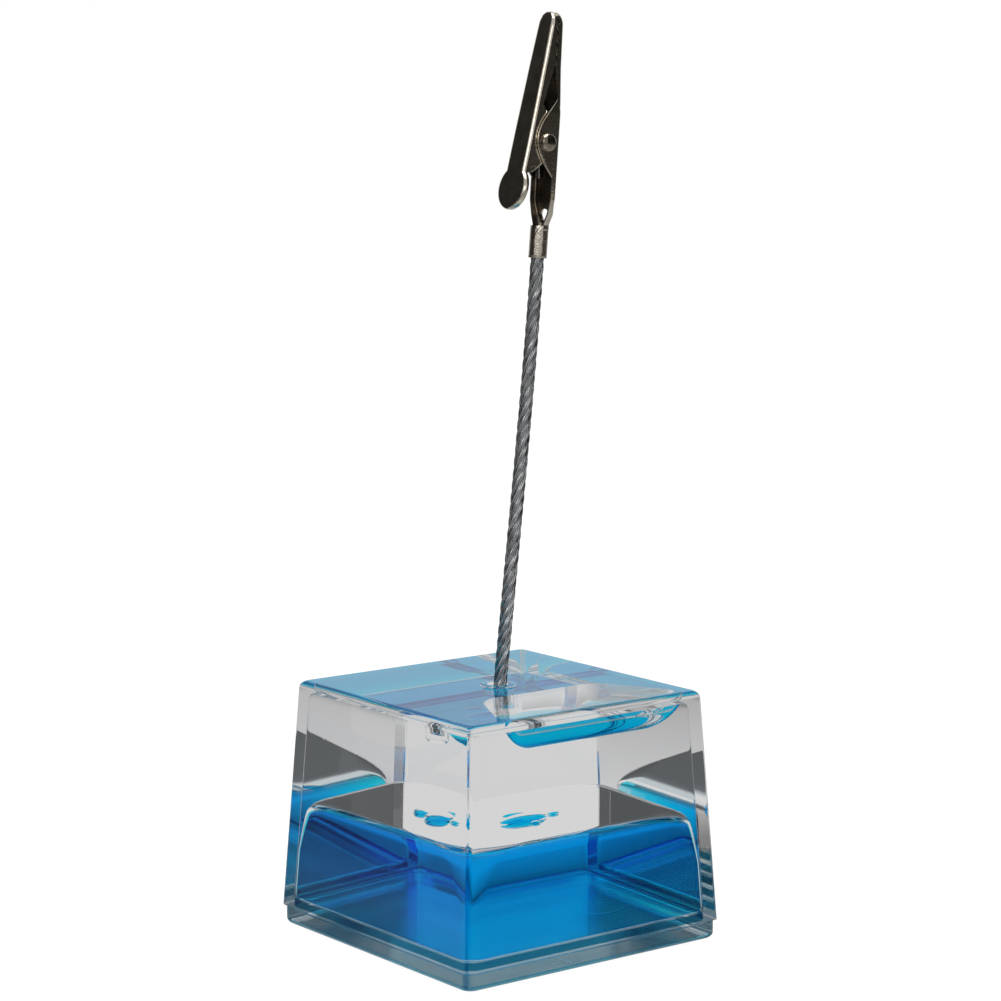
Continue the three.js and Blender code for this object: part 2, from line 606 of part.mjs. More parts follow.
// Torsion spring: a leg on the fixed jaw's back, the coil, a leg on the moving jaw's back
class SpringRoute extends THREE.Curve {
  constructor() {
    super();
    const width = COIL_TURNS * COIL_PITCH;
    this.start = new THREE.Vector3(-width / 2, COIL_RADIUS, 0);
    this.stop = new THREE.Vector3(width / 2, -COIL_RADIUS, 0);
    const reach = WIRE / 2 + LEG_CLEARANCE + SHEET;
    this.fixedEnd = new THREE.Vector3(-width / 2, FIXED_BACK - reach, -LEG_LENGTH);
    const rest = new THREE.Vector3(width / 2, -MOVING_BACK + reach, -LEG_LENGTH);
    this.movingEnd = rest.applyAxisAngle(new THREE.Vector3(1, 0, 0), -closedTurn);
    const coil = 2 * Math.PI * COIL_RADIUS * COIL_TURNS;
    const legs = [this.fixedEnd.distanceTo(this.start), this.movingEnd.distanceTo(this.stop)];
    const whole = legs[0] + coil + legs[1];
    this.coilFrom = legs[0] / whole;
    this.coilTo = 1 - legs[1] / whole;
  }

  getPoint(t, target = new THREE.Vector3()) {
    if (t < this.coilFrom) {
      return target.lerpVectors(this.fixedEnd, this.start, t / this.coilFrom);
    }
    if (t > this.coilTo) {
      return target.lerpVectors(this.stop, this.movingEnd, (t - this.coilTo) / (1 - this.coilTo));
    }
    const share = (t - this.coilFrom) / (this.coilTo - this.coilFrom);
    const angle = 2 * Math.PI * COIL_TURNS * share;
    const x = between(share, [0, this.start.x], [1, this.stop.x]);
    return target.set(x, COIL_RADIUS * Math.cos(angle), COIL_RADIUS * Math.sin(angle));
  }
}

// Least gap of a wire to itself, over points further apart along it than a given length
function leastGap(points, wire, apart) {
  const step = points[0].distanceTo(points[1]);
  let least = Infinity;
  for (let i = 0; i < points.length; i++) {
    for (let j = i + 1; j < points.length; j++) {
      if ((j - i) * step > apart) {
        least = Math.min(least, points[i].distanceTo(points[j]) - wire);
      }
    }
  }
  return least;
}

function jawSpring() {
  const route = new SpringRoute();
  const halfTurn = Math.PI * COIL_RADIUS;
  const gap = leastGap(route.getSpacedPoints(SPRING_SAMPLES), WIRE, halfTurn);
  console.log(`jaw_spring: least gap to itself ${gap.toFixed(2)} mm`);
  const section = new THREE.Shape().absarc(0, 0, WIRE / 2, 0, 2 * Math.PI);
  const wound = { extrudePath: route, steps: SPRING_STEPS, curveSegments: BEND_STEPS };
  return piece('jaw_spring', solid(new THREE.ExtrudeGeometry(section, wound)), springSteel);
}

// Assembly
const clip = new THREE.Group();
clip.add(fixedJaw(), movingJaw(), jawRivet(), jawSpring());
clip.rotation.x = -clipTurn;
clip.position
  .copy(barrelFoot)
  .add(along(clipTurn, TAIL_LENGTH + BARREL_LENGTH))
  .sub(new THREE.Vector3(0, BARREL_OFFSET * Math.cos(clipTurn), -BARREL_OFFSET * Math.sin(clipTurn)));

const memoHolder = new THREE.Group();
memoHolder.add(clearCase(), basePlate(), fillPlug(), blueLiquid(), clearOilBody(), ...blueDroplets());
memoHolder.add(stemRope(), clip);

export default memoHolder;
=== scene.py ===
# Looks of the memo holder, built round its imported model
import json
import math

import bmesh
import bpy
from bpy.props import FloatProperty, FloatVectorProperty, IntProperty, PointerProperty
from mathutils import Matrix, Vector


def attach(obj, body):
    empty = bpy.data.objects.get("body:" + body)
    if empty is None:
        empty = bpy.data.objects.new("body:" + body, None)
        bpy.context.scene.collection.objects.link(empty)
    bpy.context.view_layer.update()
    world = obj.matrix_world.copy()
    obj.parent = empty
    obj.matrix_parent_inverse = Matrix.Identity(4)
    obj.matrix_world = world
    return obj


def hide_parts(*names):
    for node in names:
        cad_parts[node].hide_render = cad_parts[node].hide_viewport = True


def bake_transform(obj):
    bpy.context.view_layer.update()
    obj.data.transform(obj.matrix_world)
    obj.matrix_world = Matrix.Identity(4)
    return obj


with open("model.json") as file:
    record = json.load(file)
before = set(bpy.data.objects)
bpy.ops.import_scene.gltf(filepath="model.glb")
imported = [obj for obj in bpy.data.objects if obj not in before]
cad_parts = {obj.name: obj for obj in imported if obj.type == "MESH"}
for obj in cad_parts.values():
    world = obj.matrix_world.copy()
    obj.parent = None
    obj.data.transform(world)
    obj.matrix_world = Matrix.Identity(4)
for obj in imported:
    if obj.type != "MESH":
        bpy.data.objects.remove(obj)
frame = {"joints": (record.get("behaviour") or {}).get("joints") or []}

bl_info = {
    "name": "Memo holder",
    "version": (1, 0, 0),
    "blender": (4, 5, 0),
    "location": "View3D > Sidebar > Memo holder",
    "description": "Builds a liquid-filled memo holder with a wire rope stem and a crocodile clip",
    "category": "Object",
}

CORNER_STEPS, ROUND_STEPS, BREAK_STEPS = 8, 36, 3
WHITE = (1, 1, 1)
JOINTS = {joint["name"]: Vector(joint["pos_m"]) for joint in frame["joints"]}
PIVOT, STEM_HINGE = JOINTS["jaw_hinge"], JOINTS["stem_bend"]


# Properties

def mm(value):
    """Millimetres in metres"""
    return value / 1000


def length(name, description, default):
    """A length given in millimetres"""
    return FloatProperty(
        name=name, description=description, default=mm(default), unit="LENGTH", precision=5)


def angle(name, description, default):
    """An angle given in degrees"""
    return FloatProperty(
        name=name, description=description, default=math.radians(default), subtype="ANGLE")


def amount(name, description, default):
    """A plain number"""
    return FloatProperty(name=name, description=description, default=default, precision=4)


def colour(name, description, default):
    """A colour of three parts"""
    return FloatVectorProperty(
        name=name, description=description, default=default, subtype="COLOR", min=0, max=1)


class BaseSizes(bpy.types.PropertyGroup):
    """Sizes of the case, its base plate and the fill plug"""
    foot_width: length("Foot width", "Case across its foot", 50)
    top_width: length("Top width", "Case across its top", 45.7)
    height: length("Height", "Underside of the plate to the top of the case", 39.9)
    wall: length("Wall", "Side walls of the case", 1.8)
    top_wall: length("Top wall", "Top of the case", 2)
    corner: length("Corner", "Radius of the case's upright edges", 0.8)
    edge: length("Edge", "Radius round the top face", 1.1)
    cavity_corner: length("Cavity corner", "Radius of the cavity's upright corners", 1.2)
    cavity_edge: length("Cavity edge", "Radius between the cavity's walls and the top", 1)
    plate: length("Plate", "Thickness of the plate's flange", 2.9)
    plate_inset: length("Plate inset", "Flange edge inside the case's foot", 0.2)
    plate_corner: length("Plate corner", "Radius of the flange's corners", 1.6)
    plate_edge: length("Plate edge", "Radius round the flange's lower edge", 0.9)
    plate_break: length("Plate break", "Radius round the flange's upper edge", 0.25)
    step: length("Step", "Height of the step that plugs into the case", 1.2)
    step_clearance: length("Step clearance", "Step to the case's walls", 0.15)
    glue_line: length("Glue line", "Case rim to flange", 0.1)
    bore: length("Bore", "Radius of the stem's socket", 1.65)
    bore_depth: length("Bore depth", "Socket from the top face", 6.7)
    boss: length("Boss", "Radius of the boss round the socket", 2.55)
    boss_floor: length("Boss floor", "Plastic under the socket", 1.5)
    boss_edge: length("Boss edge", "Radius of the boss's lower edge", 0.6)
    collar: length("Collar", "Radius of the raised collar", 2.95)
    collar_height: length("Collar height", "Collar above the top face", 0.25)
    plug_offset: length("Plug offset", "Plug from the centre", 14)
    plug_head: length("Plug head", "Radius of the plug's head", 4)
    plug_head_top: length("Plug head top", "Top of the plug's head", 1.5)
    plug_recess: length("Plug recess", "Head above the underside", 0.02)
    plug_stem: length("Plug stem", "Radius of the plug's stem", 2.5)
    plug_clearance: length("Plug clearance", "All round the plug", 0.02)
    plastic_index: amount("Plastic index", "Refractive index of the clear plastic", 1.52)
    # Teal on the flange's rounded lower edge: a painted reflection of blue light
    edge_reflection_colour: colour("Edge colour", "What the plate's edge lets through", (0.06, 0.42, 0.56))
    # Dark blue on the step's side wall: a painted reflection of the blue water
    joint_reflection_colour: colour("Seep colour", "What the step's joint lets through", (0.002, 0.16, 0.36))
    # The plate's colour tints its faces in air blue-grey: painted shade on clear plastic
    plate_shade_colour: colour("Plate colour", "What the plate's sides let through", (0.5, 0.57, 0.59))

    def case_half(self, z):
        """Half the case's width at a height"""
        taper = (self.foot_width - self.top_width) / 2 / (self.height - self.plate)
        return self.foot_width / 2 - (z - self.plate) * taper

    def cavity_half(self, z):
        """Half the cavity's width at a height"""
        return self.case_half(z) - self.wall

    @property
    def ceiling(self):
        """Height of the top's underside"""
        return self.height - self.top_wall

    @property
    def floor(self):
        """Height of the step's top"""
        return self.plate + self.step


class FillingSizes(bpy.types.PropertyGroup):
    """Sizes and colours of the liquids"""
    film: length("Film", "Oil between the water and the walls", 0.12)
    skin: length("Skin", "Oil to the walls, and water to the oil", 0.03)
    level: length("Level", "Flat top of the dyed water", 20.4)
    drop: length("Drop", "How far the surface falls at the walls", 1.6)
    run: length("Run", "How far in the fall starts", 4)
    corner: length("Corner", "Upright corners of the water, low down", 1.5)
    corner_top: length("Corner top", "The same at the flat top", 9)
    corner_fall: length("Corner fall", "Where the corners start to round off", 6.5)
    foot: length("Foot", "Radius round the water's lower edge", 0.8)
    bubble_length: length("Bubble length", "Air bubble along the wall", 35)
    bubble_width: length("Bubble width", "Air bubble from the wall", 14)
    bubble_shift: length("Bubble shift", "Bubble along the wall", 3.2)
    bubble_gap: length("Bubble gap", "Ceiling to the top of the bubble", 0.09)
    bubble_rim: angle("Bubble rim", "How steeply the underside leaves the top", 62)
    bubble_corner: length("Bubble corner", "Radius of its corners seen from above", 2.4)
    bubble_narrow: amount("Bubble narrow", "How much shorter it is away from the wall", 0.4)
    flatness: amount("Drop flatness", "Height of a drop's crown over half its width", 0.36)
    belly: amount("Drop belly", "Depth of its underside over the height of its crown", 0.15)
    drop_lift: length("Drop lift", "Oil between a drop and the water", 0.08)
    water_colour: colour("Water colour", "What the dyed water lets through", (0.0, 0.939, 0.9995))
    water_tint: colour("Water tint", "What the water's surface lets through", (0.1, 0.86, 1.0))
    water_density: amount("Water density", "Strength of the dye, per metre", 268)
    drop_density: amount("Drop density", "The same in the loose drops", 1500)
    oil_index: amount("Oil index", "Refractive index of the clear oil", 1.46)
    water_index: amount("Water index", "Refractive index of the dyed water", 1.335)


class StemSizes(bpy.types.PropertyGroup):
    """Sizes and colours of the wire rope"""
    diameter: length("Diameter", "Wire rope", 2.2)
    lay: length("Lay", "Rope length of one turn of its strands", 11.5)
    wire_lay: length("Wire lay", "Strand length of one turn of its wires", 7)
    strands: IntProperty(name="Strands", description="Strands round the core", default=6)
    wires: IntProperty(name="Wires", description="Wires round the middle of a strand", default=6)
    core: amount("Core", "Radius of the core over that of a strand", 1.05)
    lean: angle("Lean", "Stem from upright at its foot", 6.3)
    foot_depth: length("Foot depth", "Rope below the middle of the socket", 2.95)
    head_depth: length("Head depth", "Rope inside the clip's barrel", 4.2)
    dark: colour("Dark tone", "Steel between its highlights", (0.23, 0.235, 0.24))
    light: colour("Light tone", "Bright steel", (0.52, 0.53, 0.54))


class ClipSizes(bpy.types.PropertyGroup):
    """Sizes and colours of the clip"""
    lean: angle("Lean", "Clip from upright", 4.6)
    sheet: length("Sheet", "Sheet of both jaws", 0.3)
    bend: length("Bend", "Outer bend radius", 0.7)
    fixed_back: length("Fixed back", "Rivet to the fixed jaw's outer face", 2.43)
    fixed_width: length("Fixed width", "Fixed jaw across its ears", 5.4)
    front_width: length("Front width", "Both jaws where the teeth begin", 4.2)
    tip_width: length("Tip width", "Both jaws where the nose begins", 3.8)
    nose: length("Nose", "Length of the rounded nose", 2)
    nose_round: amount("Nose round", "Share of a full round that the nose has", 0.92)
    nose_curl: length("Nose curl", "Radius by which the backs curl in along the nose", 0.5)
    reach: length("Reach", "Rivet to tip", 20.2)
    tail: length("Tail", "Rivet to the barrel", 12.95)
    tail_wall: length("Tail wall", "Height of the tail's side walls", 1.15)
    tail_hole: length("Tail hole", "Radius of the hole in the tail", 0.95)
    tail_hole_rise: length("Tail hole rise", "Hole above the barrel", 1.75)
    barrel: length("Barrel", "Length of the barrel", 5.05)
    barrel_radius: length("Barrel radius", "Outside of the barrel", 1.44)
    barrel_offset: length("Barrel offset", "Barrel axis from the rivet", 1.48)
    seam: length("Seam", "Open seam of the rolled barrel", 0.14)
    seam_start: angle("Seam start", "Seam at the barrel's upper end", -26)
    seam_turn: angle("Seam turn", "How far the seam runs round the barrel", -150)
    ear_rise: length("Ear rise", "Height of the ears over the tail walls", 3.25)
    ear_length: length("Ear length", "Ears along the jaw", 11.6)
    ear_shift: length("Ear shift", "Ear centre from the rivet", 0.4)
    waist_wall: length("Waist wall", "Side walls between ears and teeth", 0.75)
    teeth_start: length("Teeth start", "Rivet to the first tooth", 11.6)
    land: length("Land", "Last tooth to the tip", 0.6)
    tooth: length("Tooth", "Depth of a tooth", 0.54)
    teeth: IntProperty(name="Teeth", description="Teeth on each flange", default=4)
    parting: length("Parting", "Fixed jaw's outer face to the middle of the teeth", 1.18)
    gap: length("Gap", "Between the teeth of the shut jaws", 0.25)
    closed: angle("Closed", "Between the two backs when shut", 10.3)
    moving_back: length("Moving back", "Rivet to the moving jaw's outer face", 3.37)
    side_clearance: length("Side clearance", "Moving jaw inside the ears", 0.12)
    lobe_reach: length("Lobe reach", "Pivot lobes beyond the rivet's axis", 1.6)
    lobe_length: length("Lobe length", "Pivot lobes along the jaw", 11.2)
    flange: length("Flange", "Moving jaw's flanges in front of the lobes", 1.3)
    paddle: length("Paddle", "Radius of the thumb paddle", 3.45)
    paddle_centre: length("Paddle centre", "Rivet to the middle of the paddle", 8)
    paddle_rim: length("Paddle rim", "Turned rim of the paddle", 0.85)
    shank: length("Shank", "Radius of the rivet's shank", 0.75)
    shank_clearance: length("Shank clearance", "Shank to the holes", 0.1)
    head: length("Head", "Radius of the rivet's heads", 1.4)
    dome: length("Dome", "Height of a head", 0.75)
    head_clearance: length("Head clearance", "Heads to ears", 0.05)
    wire: length("Wire", "Spring wire", 0.5)
    coil: length("Coil", "Radius to the wire's middle", 1.35)
    coil_turns: amount("Coil turns", "Turns of the spring", 2.5)
    coil_pitch: length("Coil pitch", "Turn to turn", 1)
    leg: length("Leg", "Spring legs", 5.6)
    leg_clearance: length("Leg clearance", "Legs to the jaws", 0.15)
    dark: colour("Dark tone", "Nickel between its highlights", (0.50, 0.44, 0.35))
    light: colour("Light tone", "Bright nickel", (0.74, 0.69, 0.60))
    # Dull and inside tones: nickel darkened with painted shade, for the insides of the jaws'
    # channels
    inside_shade_light: colour("Dull tone", "Worn nickel", (0.20, 0.17, 0.13))
    inside: colour("Inside tone", "Dull nickel inside the clip", (0.05, 0.042, 0.032))
    spring_dark: colour("Spring dark tone", "Spring between its highlights", (0.34, 0.33, 0.32))
    spring_light: colour("Spring light tone", "Bright spring", (0.6, 0.59, 0.57))
    mark: length("Mark", "Size of the press marks", 0.35)
    mark_depth: length("Mark depth", "Depth of the press marks", 0.04)


class StageLook(bpy.types.PropertyGroup):
    """Camera, floor and lamps"""
    azimuth: angle("Azimuth", "Camera round the object", 52.416)
    elevation: angle("Elevation", "Camera above the horizon", 7.949)
    distance: length("Distance", "Camera to the object", 472.26)
    aim_height: length("Aim height", "Height that the camera aims at", 69.465)
    aim_side: length("Aim side", "Camera's aim beside the axis", 0.382)
    lens: amount("Lens", "Focal length on a 36 mm frame, in millimetres", 108.027)
    floor: colour("Floor", "Floor and background", (1.0, 1.0, 1.0))
    floor_tone: colour("Floor tone", "Floor's own tone under its glow", (0.8, 0.8, 0.8))
    floor_radius: length("Floor radius", "Round floor", 6000)
    floor_drop: length("Floor drop", "Floor under the object", 0.2)
    glow: amount("Glow", "Share of the floor that glows", 0.9)
    white: amount("White", "Glow of the floor toward the camera", 1.07)
    through: amount("Through", "Floor's level as metal and clear pieces show it", 0.58)
    sky: amount("Sky", "The same of the background above the floor", 0.66)
    # Left and right levels: painted shade, the floor darker to each side of the object
    left: amount("Left", "The same of the floor left of the object", 0.15)
    right: amount("Right", "The same of the floor right of the object", 0.32)
    side_even: length("Side even", "How far aside the floor's level stays even", 30)
    side_reach: length("Side reach", "How far aside it has come to its side's level", 120)
    # Painted contact shadow on the floor in a ring round the base
    contact_shadow: amount("Near", "Share of that level close to the base", 0.3)
    contact_shadow_reach: length("Near reach", "Reach of the floor close to the base", 100)
    # Tones of the cards' painted glow
    flag: colour("Flag", "Tone of the dark cards", (1.0, 0.94, 0.84))
    clear_flag: colour("Clear flag", "The same as the clear pieces show it", (0.86, 0.95, 1.0))
    flag_distance: length("Flag distance", "Cards from the object", 450)
    flag_length: length("Flag length", "Cards along the view", 760)
    flag_foot: length("Flag foot", "Cards above the floor", 30)
    flag_height: length("Flag height", "Top of the cards", 700)
    overhead: amount("Overhead", "Power of the lamp above, in watts", 9)
    overhead_size: length("Overhead size", "Sides of the lamp above", 700)
    overhead_height: length("Overhead height", "Height of the lamp above", 1000)
    overhead_back: length("Overhead back", "How far it stands toward the camera", 150)
    front: amount("Front", "Power of the lamp beside the camera, in watts", 0.7)
    front_width: length("Front width", "Front lamp from side to side", 500)
    front_depth: length("Front depth", "Front lamp from top to bottom", 250)
    front_distance: length("Front distance", "Front lamp from the object", 800)
    front_left: length("Front left", "Front lamp left of the camera", 100)
    front_rise: length("Front rise", "Front lamp over the camera's aim", 300)


class MemoHolder(bpy.types.PropertyGroup):
    """All sizes and colours of the memo holder"""
    base: PointerProperty(type=BaseSizes)
    filling: PointerProperty(type=FillingSizes)
    stem: PointerProperty(type=StemSizes)
    clip: PointerProperty(type=ClipSizes)
    stage: PointerProperty(type=StageLook)


# Shader nodes

# Sockets of the Mix node's colours, whose names repeat
MIX_FACTOR, MIX_A, MIX_B, MIX_RESULT = 0, 6, 7, 2
# Scales of smudges and of scratches, per metre, and the scratches' depth
CLEAR_WEAR = 90, 260, mm(0.002)
NO_WEAR = 90, 260, 0
NICKEL_WEAR = 450, 900, mm(0.005)
SPRING_WEAR = 500, 1500, mm(0.01)
ROPE_WEAR = 700, 1500, mm(0.01)
STAGE_WEAR = 3, 20, mm(0.1)
SCRATCH_STRENGTH = 0.2


def feed(node, inputs):
    """Gives a node's inputs their values, or links them to other nodes' outputs"""
    for name, value in inputs.items():
        if isinstance(value, bpy.types.NodeSocket):
            node.id_data.links.new(value, node.inputs[name])
        else:
            node.inputs[name].default_value = value


def place(tree, kind, inputs=None, **settings):
    """Adds a node with its settings and inputs"""
    node = tree.nodes.new(kind)
    for name, value in settings.items():
        setattr(node, name, value)
    feed(node, inputs or {})
    return node


def calculate(tree, operation, *values):
    """The result of a Math node"""
    node = place(tree, "ShaderNodeMath", dict(enumerate(values)), operation=operation)
    return node.outputs["Value"]


def rescale(tree, value, low, high, start=0, stop=1):
    """A value between low and high, brought to another range"""
    node = place(tree, "ShaderNodeMapRange", {
        "Value": value, "From Min": low, "From Max": high, "To Min": start, "To Max": stop})
    return node.outputs["Result"]


def mix(tree, factor, first, second):
    """Two colours, mixed"""
    inputs = {MIX_FACTOR: factor, MIX_A: first, MIX_B: second}
    return place(tree, "ShaderNodeMix", inputs, data_type="RGBA").outputs[MIX_RESULT]


def ramp(tree, value, levels, tone=WHITE):
    """A colour ramp through grey levels, in one tone"""
    node = place(tree, "ShaderNodeValToRGB", {"Fac": value})
    stops = node.color_ramp.elements
    stops.remove(stops[0])
    for number, (position, level) in enumerate(levels.items()):
        stop = stops.new(position) if number else stops[0]
        stop.position = position
        stop.color = (*(part * level for part in tone), 1)
    return node.outputs["Color"]


def new_group(name, inputs, outputs):
    """An empty shader node group with its sockets"""
    tree = bpy.data.node_groups.new(name, "ShaderNodeTree")
    for way, sockets in (("INPUT", inputs), ("OUTPUT", outputs)):
        for socket, kind in sockets.items():
            tree.interface.new_socket(socket, in_out=way, socket_type="NodeSocket" + kind)
    return tree, place(tree, "NodeGroupInput").outputs, place(tree, "NodeGroupOutput")


def fine_wear():
    """Soft smudges and hairline scratches"""
    known = bpy.data.node_groups.get("fine_wear")
    if known:
        return known
    tree, given, made = new_group(
        "fine_wear",
        {"Vector": "Vector", "Smudge Scale": "Float", "Scratch Scale": "Float"},
        {"Smudge": "Float", "Scratch": "Float"},
    )
    cloud = place(tree, "ShaderNodeTexNoise", {
        "Vector": given["Vector"], "Scale": given["Smudge Scale"], "Detail": 4, "Roughness": 0.6})
    stretch = place(tree, "ShaderNodeMapping", {
        "Vector": given["Vector"], "Rotation": (0.5, 0.9, 0.3), "Scale": (1, 0.06, 1)})
    hair = place(tree, "ShaderNodeTexNoise", {
        "Vector": stretch.outputs["Vector"], "Scale": given["Scratch Scale"],
        "Detail": 1, "Distortion": 0.4})
    depth = calculate(tree, "ABSOLUTE", calculate(tree, "SUBTRACT", hair.outputs["Fac"], 0.5))
    feed(made, {
        "Smudge": rescale(tree, cloud.outputs["Fac"], 0.35, 0.7),
        "Scratch": rescale(tree, depth, 0, 0.006, 1, 0),
    })
    return tree


def new_material(name):
    """A material with its nodes, its shader and Object coordinates"""
    material = bpy.data.materials.new(name)
    material.use_nodes = True
    tree = material.node_tree
    vector = place(tree, "ShaderNodeTexCoord").outputs["Object"]
    return material, tree, tree.nodes["Principled BSDF"], vector


def worn(tree, vector, shader, rough, wear):
    """Puts smudges on a shader's roughness and scratches on its bump; returns the smudges"""
    smudge, scratch, depth = wear
    inputs = {"Vector": vector, "Smudge Scale": smudge, "Scratch Scale": scratch}
    marks = place(tree, "ShaderNodeGroup", inputs, node_tree=fine_wear()).outputs
    bump = place(tree, "ShaderNodeBump", {
        "Height": marks["Scratch"], "Strength": SCRATCH_STRENGTH, "Distance": depth})
    feed(shader, {
        "Roughness": rescale(tree, marks["Smudge"], 0, 1, *rough),
        "Normal": bump.outputs["Normal"],
    })
    return marks["Smudge"]


def clear_surface(name, index, tint=WHITE, rough=(0, 0.012), wear=CLEAR_WEAR):
    """A see-through surface of one refractive index"""
    material, tree, shader, vector = new_material(name)
    feed(shader, {"Base Color": (*tint, 1), "Transmission Weight": 1, "IOR": index})
    worn(tree, vector, shader, rough, wear)
    return material


def inner_surface(name, index, tint=WHITE):
    """A see-through surface inside the part, which nothing smudges or scratches"""
    return clear_surface(name, index, tint, (0, 0), NO_WEAR)


def dye(material, tone, density):
    """Makes a clear material take its colour from its depth"""
    tree = material.node_tree
    volume = place(tree, "ShaderNodeVolumeAbsorption", {"Color": (*tone, 1), "Density": density})
    feed(tree.nodes["Material Output"], {"Volume": volume.outputs["Volume"]})
    return material


def quiet(material, share):
    """Leaves a share of a clear material's front reflection"""
    shader = material.node_tree.nodes["Principled BSDF"]
    feed(shader, {"Specular Tint": (share, share, share, 1)})
    return material


def metal_surface(name, dark, light, rough, wear=NICKEL_WEAR):
    """Bare metal with cloudy tones, smudges and scratches"""
    material, tree, shader, vector = new_material(name)
    smudge = worn(tree, vector, shader, rough, wear)
    feed(shader, {"Metallic": 1, "Base Color": mix(tree, smudge, (*light, 1), (*dark, 1))})
    return material


# Shapes

def fresh(items, before):
    """Those vertices, edges or faces that were not there before"""
    return [item for item in items if item not in before]


def faces_of(verts):
    """All faces that touch vertices"""
    return list({face for vert in verts for face in vert.link_faces})


def paint(faces, kind):
    """Gives faces one of their piece's materials"""
    for face in faces:
        face.material_index = kind


def spread(low, high, count):
    """Evenly spaced values from low to high"""
    return [low + (high - low) * i / count for i in range(count + 1)]


def between(value, low, high, start, stop):
    """A value between low and high, brought to the range from start to stop"""
    return start + (stop - start) * (value - low) / (high - low)


def quarter(steps):
    """The points of a quarter round, as cosine and sine of its angle"""
    return [(math.cos(turn), math.sin(turn)) for turn in spread(0, math.pi / 2, steps)]


def rounded_ring(bm, half_x, half_y, radius, z, x=0, y=0):
    """A rounded rectangle at one height, as a ring of edges"""
    before = set(bm.edges)
    verts = bmesh.ops.create_grid(bm, x_segments=1, y_segments=1, size=1)["verts"]
    bmesh.ops.scale(bm, vec=(half_x, half_y, 1), verts=verts)
    bmesh.ops.translate(bm, vec=(x, y, z), verts=verts)
    bmesh.ops.bevel(
        bm, geom=verts, offset=radius, offset_type="OFFSET", affect="VERTICES",
        segments=CORNER_STEPS, profile=0.5, material=-1)
    ring = fresh(bm.edges, before)
    faces = {face for edge in ring for face in edge.link_faces}
    bmesh.ops.delete(bm, geom=list(faces), context="FACES_ONLY")
    return ring


def square_ring(bm, half, radius, z):
    """A rounded square at one height, as a ring of edges"""
    return rounded_ring(bm, half, half, radius, z)


def round_ring(bm, radius, z, x=0, y=0):
    """A circle at one height, as a ring of edges"""
    before = set(bm.edges)
    bmesh.ops.create_circle(
        bm, segments=ROUND_STEPS, radius=radius, matrix=Matrix.Translation((x, y, z)))
    return fresh(bm.edges, before)


def band(bm, low, high):
    """Faces between two rings, which may lie in one plane"""
    if len({round(vert.co.z, 7) for edge in low + high for vert in edge.verts}) == 1:
        filled = bmesh.ops.triangle_fill(bm, edges=low + high, use_beauty=True)["geom"]
        return [part for part in filled if isinstance(part, bmesh.types.BMFace)]
    upper = list({vert for edge in high for vert in edge.verts})
    bmesh.ops.translate(bm, vec=(0, 0, 1), verts=upper)
    faces = bmesh.ops.bridge_loops(bm, edges=low + high)["faces"]
    bmesh.ops.translate(bm, vec=(0, 0, -1), verts=upper)
    return faces


def skin(bm, rings, kinds=None, closed=True):
    """Faces through rings in order, with the ends filled; returns them, facing out"""
    made = [band(bm, low, high) for low, high in zip(rings, rings[1:])]
    if closed:
        made[0] += bmesh.ops.edgeloop_fill(bm, edges=rings[0])["faces"]
        made[-1] += bmesh.ops.edgeloop_fill(bm, edges=rings[-1])["faces"]
    for faces, kind in zip(made, kinds or [0] * len(made)):
        paint(faces, kind)
    everything = [face for faces in made for face in faces]
    bmesh.ops.recalc_face_normals(bm, faces=everything)
    return everything


def mesh_of(bm, name, materials=()):
    """A mesh with its materials from a bmesh, which it frees"""
    mesh = bpy.data.meshes.new(name)
    bm.to_mesh(mesh)
    bm.free()
    for material in materials:
        mesh.materials.append(material)
    return mesh


def add_object(name, data):
    """An object in the scene"""
    thing = bpy.data.objects.new(name, data)
    bpy.context.scene.collection.objects.link(thing)
    return thing


def finish_piece(bm, name, body, nodes, materials, matrix=Matrix.Identity(4), sharp=35):
    """A named piece from a bmesh, riding on a body in place of CAD nodes"""
    mesh = mesh_of(bm, name, materials)
    mesh.transform(matrix)
    mesh.shade_smooth()
    mesh.set_sharp_from_angle(angle=math.radians(sharp))
    piece = add_object(name, mesh)
    if body:
        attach(piece, body)
    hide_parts(*nodes)
    return piece


def even_shading(piece):
    """Keeps large flat faces flat beside their rounded edges"""
    shading = piece.modifiers.new("even_shading", "WEIGHTED_NORMAL")
    shading.keep_sharp = True
    shading.weight = 90


def add_wires(bm, name, routes, radius, sides):
    """Adds round wires along routes"""
    curve = bpy.data.curves.new(name, "CURVE")
    curve.dimensions = "3D"
    curve.bevel_depth = radius
    curve.bevel_resolution = sides
    curve.use_fill_caps = True
    for route in routes:
        spline = curve.splines.new("POLY")
        spline.points.add(len(route) - 1)
        for point, at in zip(spline.points, route):
            point.co = (*at, 1)
    holder = bpy.data.objects.new(name, curve)
    mesh = bpy.data.meshes.new_from_object(holder)
    bm.from_mesh(mesh)
    bpy.data.objects.remove(holder)
    bpy.data.curves.remove(curve)
    bpy.data.meshes.remove(mesh)
    bmesh.ops.remove_doubles(bm, verts=bm.verts, dist=mm(0.0005))
    bmesh.ops.recalc_face_normals(bm, faces=bm.faces)


# Base

# Refractive step between touching pieces that match
MATCHED = 1
# Share of their front reflection that the outer faces keep
PLASTIC_SHINE = 0.05
# The edge and joint surfaces are tinted with painted reflections
AIR, WET, GLUED, FROSTED, EDGE_REFLECTION, JOINT_REFLECTION = range(6)


